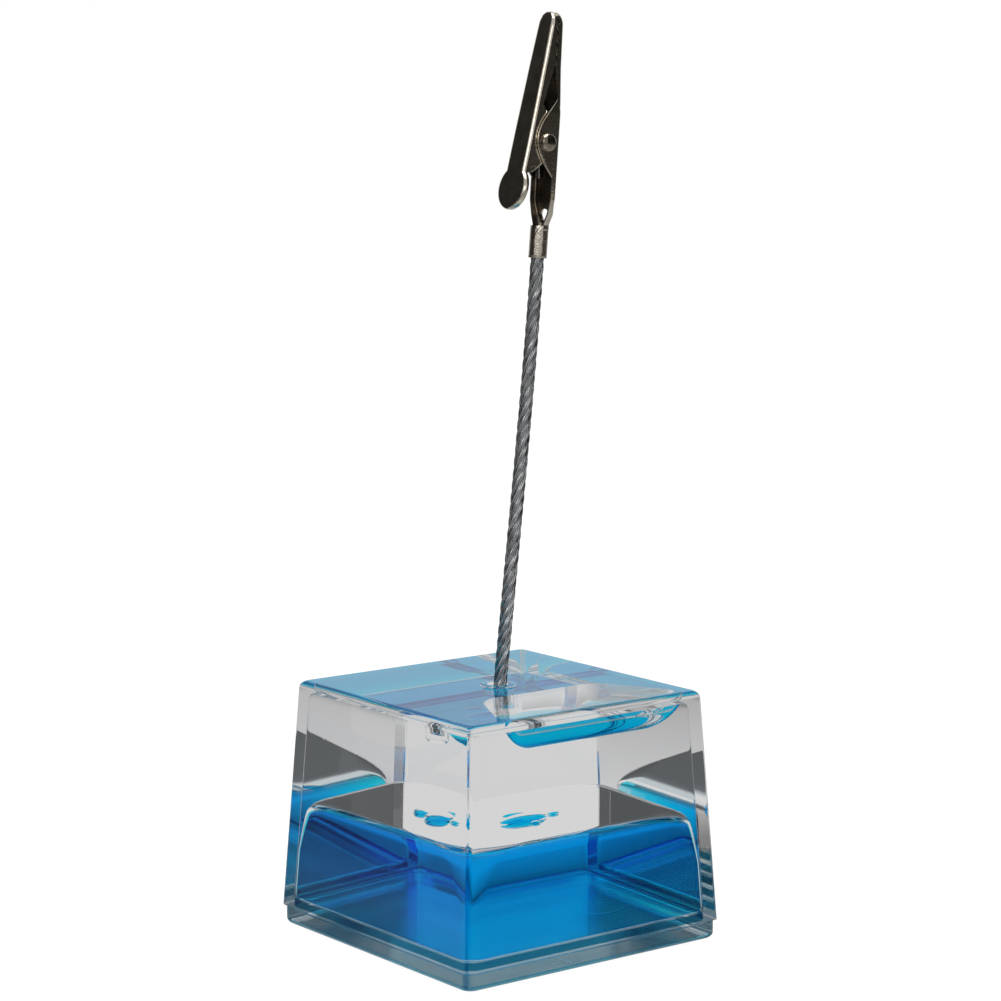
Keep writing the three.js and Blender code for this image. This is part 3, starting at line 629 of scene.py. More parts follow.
def plastic_surfaces(holder, part):
    """Clear plastic in air, in oil and in glue, matt, at an edge and in a joint tinted with
    painted reflections, the plate's faces in air tinted with painted shade
    """
    sides = ("in_air", "in_oil", "in_glue", "matt", "edge", "joint_reflection")
    names = [f"{part}_{side}" for side in sides]
    if names[AIR] not in bpy.data.materials:
        base = holder.base
        index = base.plastic_index
        # The plate's faces in air get painted blue-grey shade
        tint = base.plate_shade_colour if part == "plate" else WHITE
        quiet(clear_surface(names[AIR], index, tint), PLASTIC_SHINE)
        inner_surface(names[WET], index / holder.filling.oil_index)
        inner_surface(names[GLUED], MATCHED)
        clear_surface(names[FROSTED], index, rough=(0.2, 0.28))
        # Painted teal reflection on the flange's lower edge
        quiet(clear_surface(names[EDGE_REFLECTION], index, base.edge_reflection_colour), PLASTIC_SHINE)
        # Painted reflection of the blue water on the step's side wall
        inner_surface(names[JOINT_REFLECTION], MATCHED, base.joint_reflection_colour)
    return [bpy.data.materials[name] for name in names]


def cavity_top(bm, base, gap):
    """Rings of the fillet where the cavity's walls run into its ceiling"""
    rings = []
    for across, up in quarter(CORNER_STEPS):
        z = base.ceiling - base.cavity_edge * (1 - up)
        half = base.cavity_half(z) - base.cavity_edge * (1 - across) - gap
        rings.append(square_ring(bm, half, base.cavity_corner, z - gap))
    return rings


def boss_rings(bm, base, gap):
    """Rings down the socket's boss from the ceiling, grown all round by a gap"""
    radius = base.boss + gap
    foot = base.height - base.bore_depth - base.boss_floor - gap
    edge = base.boss_edge
    rings = [round_ring(bm, radius, base.ceiling - gap)]
    for across, down in quarter(CORNER_STEPS):
        rings.append(round_ring(bm, radius - edge * (1 - across), foot + edge * (1 - down)))
    return rings


def plug_rings(bm, base, sizes):
    """Rings of radii and heights round the fill plug's axis"""
    return [round_ring(bm, radius, z, 0, base.plug_offset) for radius, z in sizes]


class MEMO_OT_case(bpy.types.Operator):
    """Builds the clear case, open below, with the stem's socket under its top"""
    bl_idname = "memo_holder.case"
    bl_label = "Clear case"

    def execute(self, context):
        holder = context.scene.memo_holder
        base = holder.base
        bm = bmesh.new()
        rim = base.plate + base.glue_line
        collar_top = base.height + base.collar_height
        edge = base.collar_height / 2
        outside = [
            round_ring(bm, base.bore, base.height - base.bore_depth),
            round_ring(bm, base.bore, collar_top - edge),
            round_ring(bm, base.bore + edge, collar_top),
        ]
        for across, up in reversed(quarter(BREAK_STEPS)):
            radius = base.collar - edge * (1 - across)
            outside.append(round_ring(bm, radius, collar_top - edge * (1 - up)))
        outside.append(round_ring(bm, base.collar, base.height))
        for across, up in reversed(quarter(CORNER_STEPS)):
            z = base.height - base.edge * (1 - up)
            half = base.case_half(z) - base.edge * (1 - across)
            outside.append(square_ring(bm, half, base.corner, z))
        outside.append(square_ring(bm, base.case_half(rim), base.corner, rim))
        inside = [
            square_ring(bm, base.cavity_half(z), base.cavity_corner, z) for z in (rim, base.floor)
        ]
        inside += cavity_top(bm, base, 0) + boss_rings(bm, base, 0)
        kinds = [AIR] * (len(outside) - 1) + [GLUED, GLUED] + [WET] * (len(inside) - 2)
        skin(bm, outside + inside, kinds)
        even_shading(finish_piece(
            bm, "case_shell", "base", ["clear_case"],
            plastic_surfaces(holder, "case")))
        return {"FINISHED"}


class MEMO_OT_base_plate(bpy.types.Operator):
    """Builds the base plate and the plug that closes its fill hole"""
    bl_idname = "memo_holder.base_plate"
    bl_label = "Base plate and fill plug"

    def execute(self, context):
        holder = context.scene.memo_holder
        self.plate(holder)
        self.plug(holder)
        return {"FINISHED"}

    def plate(self, holder):
        base = holder.base
        bm = bmesh.new()
        hole = base.plug_stem + base.plug_clearance
        recess = base.plug_head + base.plug_clearance
        recess_top = base.plug_head_top + base.plug_clearance
        half = base.foot_width / 2 - base.plate_inset
        rings = plug_rings(bm, base, (
            (hole, base.floor), (hole, recess_top), (recess, recess_top),
            (recess, base.plug_recess), (recess, 0),
        ))
        for across, up in quarter(CORNER_STEPS):
            inset = base.plate_edge * (1 - up)
            z = base.plate_edge * (1 - across)
            rings.append(square_ring(bm, half - inset, base.plate_corner, z))
        for across, up in quarter(BREAK_STEPS):
            inset = base.plate_break * (1 - across)
            z = base.plate - base.plate_break * (1 - up)
            rings.append(square_ring(bm, half - inset, base.plate_corner, z))
        for z in (base.plate, base.floor):
            reach = base.cavity_half(z) - base.step_clearance
            rings.append(square_ring(bm, reach, base.cavity_corner, z))
        rings += plug_rings(bm, base, [(hole, base.floor)])
        kinds = [GLUED, GLUED, GLUED, AIR, FROSTED] + [EDGE_REFLECTION] * CORNER_STEPS
        kinds += [AIR] * (BREAK_STEPS + 1) + [GLUED, JOINT_REFLECTION, WET]
        skin(bm, rings, kinds, closed=False)
        bmesh.ops.remove_doubles(bm, verts=bm.verts, dist=mm(0.001))
        bmesh.ops.recalc_face_normals(bm, faces=bm.faces)
        even_shading(finish_piece(
            bm, "base_plate_moulding", "base", ["base_plate"],
            plastic_surfaces(holder, "plate")))

    def plug(self, holder):
        base = holder.base
        bm = bmesh.new()
        edge = base.plug_clearance
        rings = plug_rings(bm, base, (
            (base.plug_head - edge, base.plug_recess),
            (base.plug_head, base.plug_recess + edge),
            (base.plug_head, base.plug_head_top),
            (base.plug_stem, base.plug_head_top),
            (base.plug_stem, base.floor),
            (base.plug_stem / 2, base.floor),
        ))
        skin(bm, rings, [FROSTED, GLUED, GLUED, GLUED, WET])
        even_shading(finish_piece(
            bm, "fill_plug_moulding", "base", ["fill_plug"],
            plastic_surfaces(holder, "plate")))


# Filling

# Place, half width and half depth of each loose drop, in millimetres
DROPS = (
    (3.6, -4.2, 2.4, 4.5), (2.8, 2.0, 0.9, 1.1), (-1.2, -4.0, 1.5, 2.0), (7.4, -3.6, 0.9, 0.9),
)
# Share of its front reflection that the water's surface keeps
WATER_SHINE = 0.1
ON_PLASTIC, ON_WATER, ON_AIR = range(3)


def water_rings(bm, base, filling, gap):
    """Rings of the water's pillow, grown all round by a gap"""
    def ring(z, inset, radius):
        return square_ring(bm, base.cavity_half(z) - filling.film - inset + gap, radius, z)

    steps = CORNER_STEPS
    foot = base.floor + filling.film - gap
    wall_line = filling.level - filling.drop
    corner_from = wall_line - filling.corner_fall
    middle = (filling.corner + filling.corner_top) / 2
    rings = [
        ring(foot + filling.foot * (1 - across), filling.foot * (1 - up), filling.corner)
        for across, up in quarter(steps)
    ]
    rings.append(ring(corner_from, 0, filling.corner))
    for i in range(1, steps):
        z = corner_from + filling.corner_fall * math.sin(i / steps * math.pi / 2)
        rings.append(ring(z, 0, between(i, 0, steps, filling.corner, middle)))
    for i, (across, up) in enumerate(quarter(steps)):
        radius = between(i, 0, steps, middle, filling.corner_top)
        rings.append(ring(wall_line + gap + filling.drop * up, filling.run * (1 - across), radius))
    return rings


def drop_shape(bm, filling, drop, gap):
    """One loose drop on the water, its underside nearly flat"""
    x, y, half_x, half_y = (mm(value) for value in drop)
    verts = bmesh.ops.create_uvsphere(
        bm, u_segments=ROUND_STEPS, v_segments=ROUND_STEPS // 2, radius=1)["verts"]
    crown = half_x * filling.flatness
    belly = crown * filling.belly
    bmesh.ops.scale(bm, vec=(half_x + gap, half_y + gap, 1), verts=verts)
    bmesh.ops.scale(bm, vec=(1, 1, crown + gap), verts=[v for v in verts if v.co.z > 0])
    bmesh.ops.scale(bm, vec=(1, 1, belly + gap), verts=[v for v in verts if v.co.z < 0])
    bmesh.ops.translate(bm, vec=(x, y, filling.level + filling.drop_lift + belly), verts=verts)
    return faces_of(verts)


class MEMO_OT_water(bpy.types.Operator):
    """Builds the dyed water and its loose drops"""
    bl_idname = "memo_holder.water"
    bl_label = "Dyed water"

    def execute(self, context):
        holder = context.scene.memo_holder
        filling = holder.filling
        tone = filling.water_colour
        dyed = dye(inner_surface("dyed_water", MATCHED), tone, filling.water_density)
        loose = dye(inner_surface("dyed_drop", MATCHED), tone, filling.drop_density)
        bm = bmesh.new()
        skin(bm, water_rings(bm, holder.base, filling, 0))
        even_shading(finish_piece(
            bm, "dyed_water_pillow", "base", ["blue_liquid"], [dyed]))
        for number, drop in enumerate(DROPS, 1):
            bm = bmesh.new()
            drop_shape(bm, filling, drop, 0)
            finish_piece(
                bm, f"dyed_drop_{number}", "base", [f"blue_droplet_{number}"],
                [loose], sharp=180)
        return {"FINISHED"}


class MEMO_OT_oil(bpy.types.Operator):
    """Builds the clear oil, with hollows for the water, the drops and the air bubble"""
    bl_idname = "memo_holder.oil"
    bl_label = "Clear oil"

    def execute(self, context):
        holder = context.scene.memo_holder
        base, filling = holder.base, holder.filling
        bm = bmesh.new()
        paint(self.outside(bm, base, filling.skin), ON_PLASTIC)
        water = skin(bm, water_rings(bm, base, filling, filling.skin))
        for drop in DROPS:
            water += drop_shape(bm, filling, drop, filling.skin)
        paint(water, ON_WATER)
        bubble = self.bubble(bm, base, filling)
        paint(bubble, ON_AIR)
        bmesh.ops.reverse_faces(bm, faces=water + bubble)
        step = filling.oil_index / filling.water_index
        surfaces = [
            inner_surface("oil_on_plastic", MATCHED),
            quiet(inner_surface("oil_on_water", step, filling.water_tint), WATER_SHINE),
            inner_surface("oil_on_air", filling.oil_index),
        ]
        even_shading(finish_piece(
            bm, "clear_oil_body", "base", ["clear_oil"], surfaces))
        return {"FINISHED"}

    def outside(self, bm, base, gap):
        half = base.cavity_half(base.floor) - gap
        foot = square_ring(bm, half, base.cavity_corner, base.floor + gap)
        return skin(bm, [foot] + cavity_top(bm, base, gap) + boss_rings(bm, base, gap))

    def bubble(self, bm, base, filling):
        top = base.ceiling - filling.bubble_gap
        half_x, half_y = filling.bubble_width / 2, filling.bubble_length / 2
        middle = base.cavity_half(base.ceiling) - base.cavity_edge - half_x
        radius = half_x / math.sin(filling.bubble_rim)
        rings = []
        for slope in spread(0, filling.bubble_rim, 2 * CORNER_STEPS)[1:]:
            reach = radius * math.sin(slope)
            z = top - radius * (math.cos(slope) - math.cos(filling.bubble_rim))
            corner = filling.bubble_corner * reach / half_x
            rings.append(rounded_ring(
                bm, reach, half_y - half_x + reach, corner, z, middle, filling.bubble_shift))
        faces = skin(bm, rings)
        for vert in {vert for face in faces for vert in face.verts}:
            away = (middle + half_x - vert.co.x) / filling.bubble_width
            narrowed = 1 - filling.bubble_narrow * away * away
            vert.co.y = filling.bubble_shift + (vert.co.y - filling.bubble_shift) * narrowed
        return faces


# Stem

ROPE_STEPS, CORE_STEPS = 190, 40


def along(lean, distance):
    """A way along a line that leans from upright"""
    return Vector((0, distance * math.sin(lean), distance * math.cos(lean)))


class MEMO_OT_stem(bpy.types.Operator):
    """Lays the wire rope from the socket into the clip's barrel"""
    bl_idname = "memo_holder.stem"
    bl_label = "Wire rope stem"

    def execute(self, context):
        holder = context.scene.memo_holder
        base, stem, clip = holder.base, holder.stem, holder.clip
        barrel_foot = clip_frame(clip) @ Vector((0, clip.barrel_offset, -clip.tail - clip.barrel))
        socket = Vector((0, 0, base.height - base.bore_depth / 2))
        foot = socket - along(stem.lean, stem.foot_depth)
        head = barrel_foot + along(clip.lean, stem.head_depth)
        third = (head - foot).length / 3
        ends = (foot, foot + along(stem.lean, third), head - along(clip.lean, third), head)
        radius = stem.diameter / 6
        wire = radius / 3
        routes = [
            [
                self.wire_point(stem, ends, part, strand, number, radius, wire)
                for part in spread(0, 1, ROPE_STEPS)
            ]
            for strand in range(stem.strands) for number in range(stem.wires + 1)
        ]
        core = [self.middle(ends, part)[0] for part in spread(0, 1, CORE_STEPS)]
        bm = bmesh.new()
        add_wires(bm, "wire_rope", routes, wire, 1)
        add_wires(bm, "rope_core", [core], radius * stem.core, 2)
        steel = metal_surface("rope_wire", stem.dark, stem.light, (0.22, 0.42), ROPE_WEAR)
        piece = finish_piece(
            bm, "wire_rope_stem", None, ["stem_rope"], [steel], sharp=60)
        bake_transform(piece)
        return {"FINISHED"}

    def middle(self, ends, t):
        """Point and direction of the rope's middle"""
        a, b, c, d = ends
        s = 1 - t
        point = a * s ** 3 + b * 3 * s * s * t + c * 3 * s * t * t + d * t ** 3
        tangent = (b - a) * s * s + (c - b) * 2 * s * t + (d - c) * t * t
        return point, tangent.normalized()

    def wire_point(self, stem, ends, t, strand, number, radius, wire):
        """A point of one wire, which winds in its strand as the strand winds round the core"""
        point, tangent = self.middle(ends, t)
        distance = t * (ends[3] - ends[0]).length
        across = Vector((1, 0, 0))
        other = tangent.cross(across)
        turn = 2 * math.pi * (distance / stem.lay + strand / stem.strands)
        outward = across * math.cos(turn) + other * math.sin(turn)
        sideways = other * math.cos(turn) - across * math.sin(turn)
        slope = math.atan(2 * math.pi * 2 * radius / stem.lay)
        crossing = sideways * math.cos(slope) - tangent * math.sin(slope)
        centre = point + outward * 2 * radius
        if number == 0:
            return centre
        twist = 2 * math.pi * (number / stem.wires - distance / stem.wire_lay)
        return centre + (outward * math.cos(twist) + crossing * math.sin(twist)) * 2 * wire


# Clip

FLANGE_STEPS, BEND_STEPS, BACK_STEPS = 5, 7, 8
KEY_STEPS, EAR_STEPS, LOBE_STEPS, PADDLE_STEPS, RUN_STEPS = 4, 40, 36, 24, 8
BARREL_STEPS, BARREL_ROUND_STEPS = 10, 48
COIL_STEPS, LEG_STEPS = 100, 12
# Largest share of a flange or a half width that a bend takes up
BEND_SHARE = 0.95
# Where round the paddle its sheet begins
PADDLE_START = math.radians(4)
# Rounded edges as a share of the sheet, and the angle from which an edge is rounded
EDGE_SHARE, EDGE_ANGLE = 0.22, math.radians(50)
# Sideways part of a face's normal from which it belongs to a flange
FLANGE_FACING = 0.96
# Height of a rivet head's rim over that of its dome
RIM_SHARE = 0.2
# The second material is nickel darkened with painted shade, for the sheets' insides
BRIGHT, INSIDE_SHADE, PRESSED = range(3)


def clip_frame(clip):
    """The clip's own frame: the rivet at its origin, Z to the tip, Y to the fixed jaw's back"""
    return Matrix.Translation(PIVOT) @ Matrix.Rotation(-clip.lean, 4, "X")


def arch(z, middle, length):
    """Height of an arch of one length, 1 at its middle"""
    return math.cos(math.pi * (z - middle) / length)


def section(width, back, edge, bend):
    """Points across a bent sheet: flange, bend, back, bend, flange"""
    out = 1 if back > edge else -1
    half = width / 2
    radius = min(bend, BEND_SHARE * half, BEND_SHARE * abs(back - edge))
    foot = back - out * radius
    right = [(half, y) for y in spread(edge, foot, FLANGE_STEPS)[:-1]]
    for across, up in quarter(BEND_STEPS)[:-1]:
        right.append((half - radius + radius * across, back - out * radius * (1 - up)))
    flat = [(x, back) for x in spread(half - radius, radius - half, BACK_STEPS)]
    return right + flat + [(-x, y) for x, y in reversed(right)]


def blends(low, high, count):
    """Stations from one to another, evenly spaced"""
    return [
        tuple(a + (b - a) * part for a, b in zip(low, high)) for part in spread(0, 1, count)
    ]


def bent_sheet(bm, stations, outward):
    """A sheet through the sections at stations of height, width, back, edge and bend"""
    rows = [[Vector((x, y, z)) for x, y in section(*rest)] for z, *rest in stations]
    verts = bmesh.ops.create_grid(
        bm, x_segments=len(rows[0]) - 1, y_segments=len(rows) - 1, size=1)["verts"]
    for vert, point in zip(verts, [point for row in rows for point in row]):
        vert.co = point
    faces = faces_of(verts)
    bm.normal_update()
    facing = sum(face.normal.y * face.calc_area() for face in faces)
    if facing * outward < 0:
        bmesh.ops.reverse_faces(bm, faces=faces)


def bite_line(clip):
    """The shut jaws' toothed line to their tip, the fixed jaw's tooth tips even"""
    line = clip.fixed_back - clip.parting
    land_from = clip.reach - clip.land
    pitch = (land_from - clip.teeth_start) / clip.teeth
    corners = [
        (line + (1 if i % 2 else -1) * clip.tooth / 2, clip.teeth_start + i * pitch / 2)
        for i in range(2 * clip.teeth + 1)
    ]
    points = []
    for (y0, z0), (y1, z1) in zip(corners, corners[1:]):
        points += [(y0, z0), ((y0 + y1) / 2, (z0 + z1) / 2)]
    points += [
        (between(z, land_from, clip.reach, corners[-1][0], line), z)
        for z in spread(land_from, clip.reach, RUN_STEPS)
    ]
    return points


def nose_share(clip, z):
    """Share of the nose's full width that is left at a height"""
    part = max(0, clip.nose_round * (z - clip.reach + clip.nose) / clip.nose)
    return math.sqrt(1 - part * part)


def front_width(clip, z):
    """Width of either jaw from its teeth to its nose"""
    nose_from = clip.reach - clip.nose
    straight = between(
        min(z, nose_from), clip.teeth_start, nose_from, clip.front_width, clip.tip_width)
    return straight * nose_share(clip, z)


def nose_curl(clip, z):
    """How far either jaw's back has curled in"""
    return clip.nose_curl * (1 - nose_share(clip, z))


def nickel(clip):
    """Bright plating on the backs, nickel darkened with painted shade inside, and plating over
    press marks
    """
    names = ("bright_nickel", "shaded_inside_nickel", "pressed_nickel")
    if names[BRIGHT] not in bpy.data.materials:
        metal_surface(names[BRIGHT], clip.dark, clip.light, (0.05, 0.13))
        # Painted shade: near-black nickel inside the channels
        metal_surface(names[INSIDE_SHADE], clip.inside, clip.inside_shade_light, (0.25, 0.45))
        pressed = metal_surface(names[PRESSED], clip.dark, clip.light, (0.05, 0.16))
        dented(pressed, clip.mark, clip.mark_depth)
    return [bpy.data.materials[name] for name in names]


def dented(material, size, depth):
    """Adds shallow marks to a metal's bump"""
    tree = material.node_tree
    shader = tree.nodes["Principled BSDF"]
    vector = tree.nodes["Texture Coordinate"].outputs["Object"]
    marks = place(tree, "ShaderNodeTexNoise", {"Vector": vector, "Scale": 1 / size, "Detail": 2})
    bump = place(tree, "ShaderNodeBump", {
        "Height": marks.outputs["Fac"], "Normal": shader.inputs["Normal"].links[0].from_socket,
        "Strength": 1, "Distance": depth})
    feed(shader, {"Normal": bump.outputs["Normal"]})


def press_marks(bm, foot):
    """Gives the flanges, and all below a height, the plating over press marks"""
    for face in bm.faces:
        marked = abs(face.normal.x) > FLANGE_FACING or face.calc_center_median().z < foot
        if face.material_index == BRIGHT and marked:
            face.material_index = PRESSED


def rivet_hole(clip):
    """Radius, depth and place of the drill for the rivet"""
    across = Matrix.Rotation(math.pi / 2, 4, "Y")
    return clip.shank + clip.shank_clearance, 2 * clip.fixed_width, across


def thicken(bm, name, sheet, cutters, materials):
    """Gives a sheet its thickness, its inside the second material, its holes and round edges"""
    mesh = mesh_of(bm, name, materials)
    blank = add_object(name, mesh)
    wall = blank.modifiers.new("sheet", "SOLIDIFY")
    wall.thickness = sheet
    wall.offset = -1
    # The insides take the nickel darkened with painted shade
    wall.material_offset = INSIDE_SHADE
    drills = []
    for number, (radius, deep, at) in enumerate(cutters):
        tool = bmesh.new()
        bmesh.ops.create_cone(
            tool, cap_ends=True, segments=ROUND_STEPS, radius1=radius, radius2=radius, depth=deep,
            matrix=at)
        drill = add_object(f"drill_{number}", mesh_of(tool, f"drill_{number}"))
        cut = blank.modifiers.new(drill.name, "BOOLEAN")
        cut.object = drill
        cut.operation = "DIFFERENCE"
        cut.solver = "EXACT"
        drills.append(drill)
    rounding = blank.modifiers.new("edges", "BEVEL")
    rounding.width = sheet * EDGE_SHARE
    rounding.segments = 2
    rounding.limit_method = "ANGLE"
    rounding.angle_limit = EDGE_ANGLE
    graph = bpy.context.evaluated_depsgraph_get()
    finished = bpy.data.meshes.new_from_object(blank.evaluated_get(graph))
    made = bmesh.new()
    made.from_mesh(finished)
    for used in [drill.data for drill in drills] + [mesh, finished]:
        bpy.data.meshes.remove(used)
    return made


class MEMO_OT_fixed_jaw(bpy.types.Operator):
    """Bends the fixed jaw, with its barrel, tail, ears and teeth, from one sheet"""
    bl_idname = "memo_holder.fixed_jaw"
    bl_label = "Fixed jaw"

    def execute(self, context):
        clip = context.scene.memo_holder.clip
        bm = bmesh.new()
        bent_sheet(bm, self.stations(clip), 1)
        self.barrel(bm, clip)
        tail_hole = Matrix.Translation((0, clip.fixed_back, -clip.tail + clip.tail_hole_rise))
        through = tail_hole @ Matrix.Rotation(math.pi / 2, 4, "X")
        cutters = [rivet_hole(clip), (clip.tail_hole, 2 * clip.fixed_back, through)]
        made = thicken(bm, "fixed_jaw_blank", clip.sheet, cutters, nickel(clip))
        press_marks(made, -clip.tail)
        even_shading(finish_piece(
            made, "fixed_jaw_pressing", "clip_frame", ["fixed_jaw"],
            nickel(clip), clip_frame(clip)))
        return {"FINISHED"}

    def stations(self, clip):
        bend = clip.bend
        back = clip.fixed_back
        width = clip.fixed_width
        tail_edge = back - clip.tail_wall
        round_bend = clip.barrel_radius - clip.sheet / 4
        neck_back = clip.barrel_offset + clip.barrel_radius
        neck_edge = clip.barrel_offset - clip.sheet
        neck = (2 * clip.barrel_radius, neck_back, neck_edge, round_bend)
        ear_low = clip.ear_shift - clip.ear_length / 2
        ear_high = clip.ear_shift + clip.ear_length / 2
        hole = -clip.tail + clip.tail_hole_rise
        shoulder = hole + 2 * clip.tail_hole
        keys = [
            (-clip.tail - clip.barrel_radius / 2, *neck),
            (-clip.tail + clip.sheet, *neck),
            (hole, clip.front_width, (neck_back + back) / 2, tail_edge, bend),
            (shoulder, width - clip.sheet, back, tail_edge, bend),
            (shoulder + bend, width, back, tail_edge, bend),
        ]
        stations = []
        for low, high in zip(keys, keys[1:]):
            stations += blends(low, high, KEY_STEPS)[:-1]
        for z in spread(ear_low, ear_high, EAR_STEPS):
            edge = tail_edge - clip.ear_rise * arch(z, clip.ear_shift, clip.ear_length)
            wide = width - clip.sheet * max(0, min(1, (z - ear_high + 2 * bend) / bend))
            stations.append((z, wide, back, edge, bend))
        waist = ear_high + bend
        teeth = clip.teeth_start
        waist_width = between(waist, ear_high, teeth, width - clip.sheet, clip.front_width)
        waist_edge = back - clip.waist_wall
        bite = bite_line(clip)
        waist_end = (waist, waist_width, back, waist_edge, bend)
        teeth_end = (teeth, clip.front_width, back, bite[0][0], bend)
        stations += blends(waist_end, teeth_end, RUN_STEPS)[:-1]
        for edge, z in bite:
            stations.append((z, front_width(clip, z), back - nose_curl(clip, z), edge, bend))
        return stations

    def barrel(self, bm, clip):
        """The barrel, rolled from the tail's sheet, its seam running round it"""
        before = set(bm.verts)
        heights = spread(0, -clip.barrel, BARREL_STEPS)
        line = [bm.verts.new((clip.barrel_radius, 0, z)) for z in heights]
        edges = [bm.edges.new(pair) for pair in zip(line, line[1:])]
        open_angle = clip.seam / clip.barrel_radius
        bmesh.ops.spin(
            bm, geom=line + edges, cent=(0, 0, 0), axis=(0, 0, 1), dvec=(0, 0, 0),
            angle=2 * math.pi - open_angle, steps=BARREL_ROUND_STEPS,
            use_merge=False, use_duplicate=False)
        rolled = fresh(bm.verts, before)
        for vert in rolled:
            turn = clip.seam_start + open_angle / 2 - clip.seam_turn * vert.co.z / clip.barrel
            vert.co.rotate(Matrix.Rotation(turn, 3, "Z"))
        faces = faces_of(rolled)
        bm.normal_update()
        level = Vector((1, 1, 0))
        if sum(face.normal.dot(face.calc_center_median() * level) for face in faces) < 0:
            bmesh.ops.reverse_faces(bm, faces=faces)
        bmesh.ops.translate(bm, vec=(0, clip.barrel_offset, -clip.tail), verts=rolled)


class MEMO_OT_moving_jaw(bpy.types.Operator):
    """Bends the moving jaw, with its thumb paddle, lobes and teeth, from one sheet"""
    bl_idname = "memo_holder.moving_jaw"
    bl_label = "Moving jaw"

    def execute(self, context):
        clip = context.scene.memo_holder.clip
        bm = bmesh.new()
        bent_sheet(bm, self.stations(clip), -1)
        made = thicken(bm, "moving_jaw_blank", clip.sheet, [rivet_hole(clip)], nickel(clip))
        press_marks(made, -2 * clip.tail)
        matrix = clip_frame(clip) @ Matrix.Rotation(-clip.closed, 4, "X")
        even_shading(finish_piece(
            made, "moving_jaw_pressing", "jaw", ["moving_jaw"], nickel(clip),
            matrix))
        return {"FINISHED"}

    def stations(self, clip):
        back = -clip.moving_back
        bend = clip.bend
        width = clip.fixed_width - 2 * clip.sheet - 2 * clip.side_clearance
        flange_edge = back + clip.flange
        lobe_rise = clip.lobe_reach - flange_edge
        stations = []
        neck = math.pi - math.asin(width / 2 / clip.paddle)
        for turn in spread(PADDLE_START, neck, PADDLE_STEPS):
            z = -clip.paddle_centre - clip.paddle * math.cos(turn)
            wide = 2 * clip.paddle * math.sin(turn)
            stations.append((z, wide, back, back + clip.paddle_rim, bend))
        lobe_from = max(-clip.lobe_length / 2, stations[-1][0] + clip.sheet)
        for z in spread(lobe_from, clip.lobe_length / 2, LOBE_STEPS):
            wide = between(max(z, 0), 0, clip.teeth_start, width, clip.front_width)
            edge = flange_edge + lobe_rise * arch(z, 0, clip.lobe_length)
            stations.append((z, wide, back, edge, bend))
        bite = [(self.own(clip, y - clip.gap, z), z) for y, z in bite_line(clip)]
        (first_edge, first_z), _ = bite[0]
        teeth_end = (first_z, clip.front_width, back, first_edge, bend)
        stations += blends(stations[-1], teeth_end, RUN_STEPS)[1:-1]
        for (edge, height), z in bite:
            stations.append((height, front_width(clip, z), back + nose_curl(clip, z), edge, bend))
        return stations

    def own(self, clip, y, z):
        """A point of the clip's frame in the moving jaw's own, whose back stands upright"""
        cos, sin = math.cos(clip.closed), math.sin(clip.closed)
        return y * cos - z * sin, y * sin + z * cos


class MEMO_OT_rivet(bpy.types.Operator):
    """Turns the rivet, with its two domed heads"""
    bl_idname = "memo_holder.rivet"
    bl_label = "Jaw rivet"

    def execute(self, context):
        clip = context.scene.memo_holder.clip
        seat = clip.fixed_width / 2 + clip.head_clearance
        rim = clip.dome * RIM_SHARE
        profile = [
            (0, clip.shank), (seat, clip.shank), (seat, clip.head - rim / 2),
            (seat + rim / 2, clip.head),
        ]
        for across, up in quarter(CORNER_STEPS):
            profile.append((seat + rim + (clip.dome - rim) * up, clip.head * across))
        bm = bmesh.new()
        verts = [bm.verts.new((x, 0, radius)) for x, radius in profile]
        edges = [bm.edges.new(pair) for pair in zip(verts, verts[1:])]
        bmesh.ops.mirror(bm, geom=verts + edges, axis="X", merge_dist=mm(0.001))
        bmesh.ops.spin(
            bm, geom=bm.verts[:] + bm.edges[:], cent=(0, 0, 0), axis=(1, 0, 0), dvec=(0, 0, 0),
            angle=2 * math.pi, steps=ROUND_STEPS, use_merge=True, use_duplicate=False)
        bmesh.ops.remove_doubles(bm, verts=bm.verts, dist=mm(0.002))
        bmesh.ops.recalc_face_normals(bm, faces=bm.faces)
        # Painted shade: the rivet's nickel runs from the near-black inside tone to the dark tone,
        # darkening the whole dome
        plating = metal_surface("shaded_rivet_nickel", clip.inside, clip.dark, (0.08, 0.2))
        finish_piece(
            bm, "jaw_rivet_turned", "clip_frame", ["jaw_rivet"], [plating],
            clip_frame(clip))
        return {"FINISHED"}


class MEMO_OT_spring(bpy.types.Operator):
    """Winds the torsion spring, a leg on each jaw's back"""
    bl_idname = "memo_holder.spring"
    bl_label = "Jaw spring"

    def execute(self, context):
        clip = context.scene.memo_holder.clip
        half = clip.coil_turns * clip.coil_pitch / 2
        reach = clip.wire / 2 + clip.leg_clearance + clip.sheet
        shut = Matrix.Rotation(-clip.closed, 3, "X")
        fixed_end = Vector((-half, clip.fixed_back - reach, -clip.leg))
        moving_end = shut @ Vector((half, -clip.moving_back + reach, -clip.leg))
        coil = []
        for part in spread(0, 1, COIL_STEPS):
            turn = 2 * math.pi * clip.coil_turns * part
            x = -half + 2 * half * part
            coil.append(Vector((x, clip.coil * math.cos(turn), clip.coil * math.sin(turn))))
        parts = spread(0, 1, LEG_STEPS)
        first = [fixed_end.lerp(coil[0], part) for part in parts[:-1]]
        last = [coil[-1].lerp(moving_end, part) for part in parts[1:]]
        bm = bmesh.new()
        add_wires(bm, "spring_wire", [first + coil + last], clip.wire / 2, 4)
        steel = metal_surface(
            "spring_wire", clip.spring_dark, clip.spring_light, (0.15, 0.3), SPRING_WEAR)
        piece = finish_piece(
            bm, "jaw_spring_wound", None, ["jaw_spring"], [steel],
            clip_frame(clip), 60)
        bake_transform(piece)
        return {"FINISHED"}


# Stage

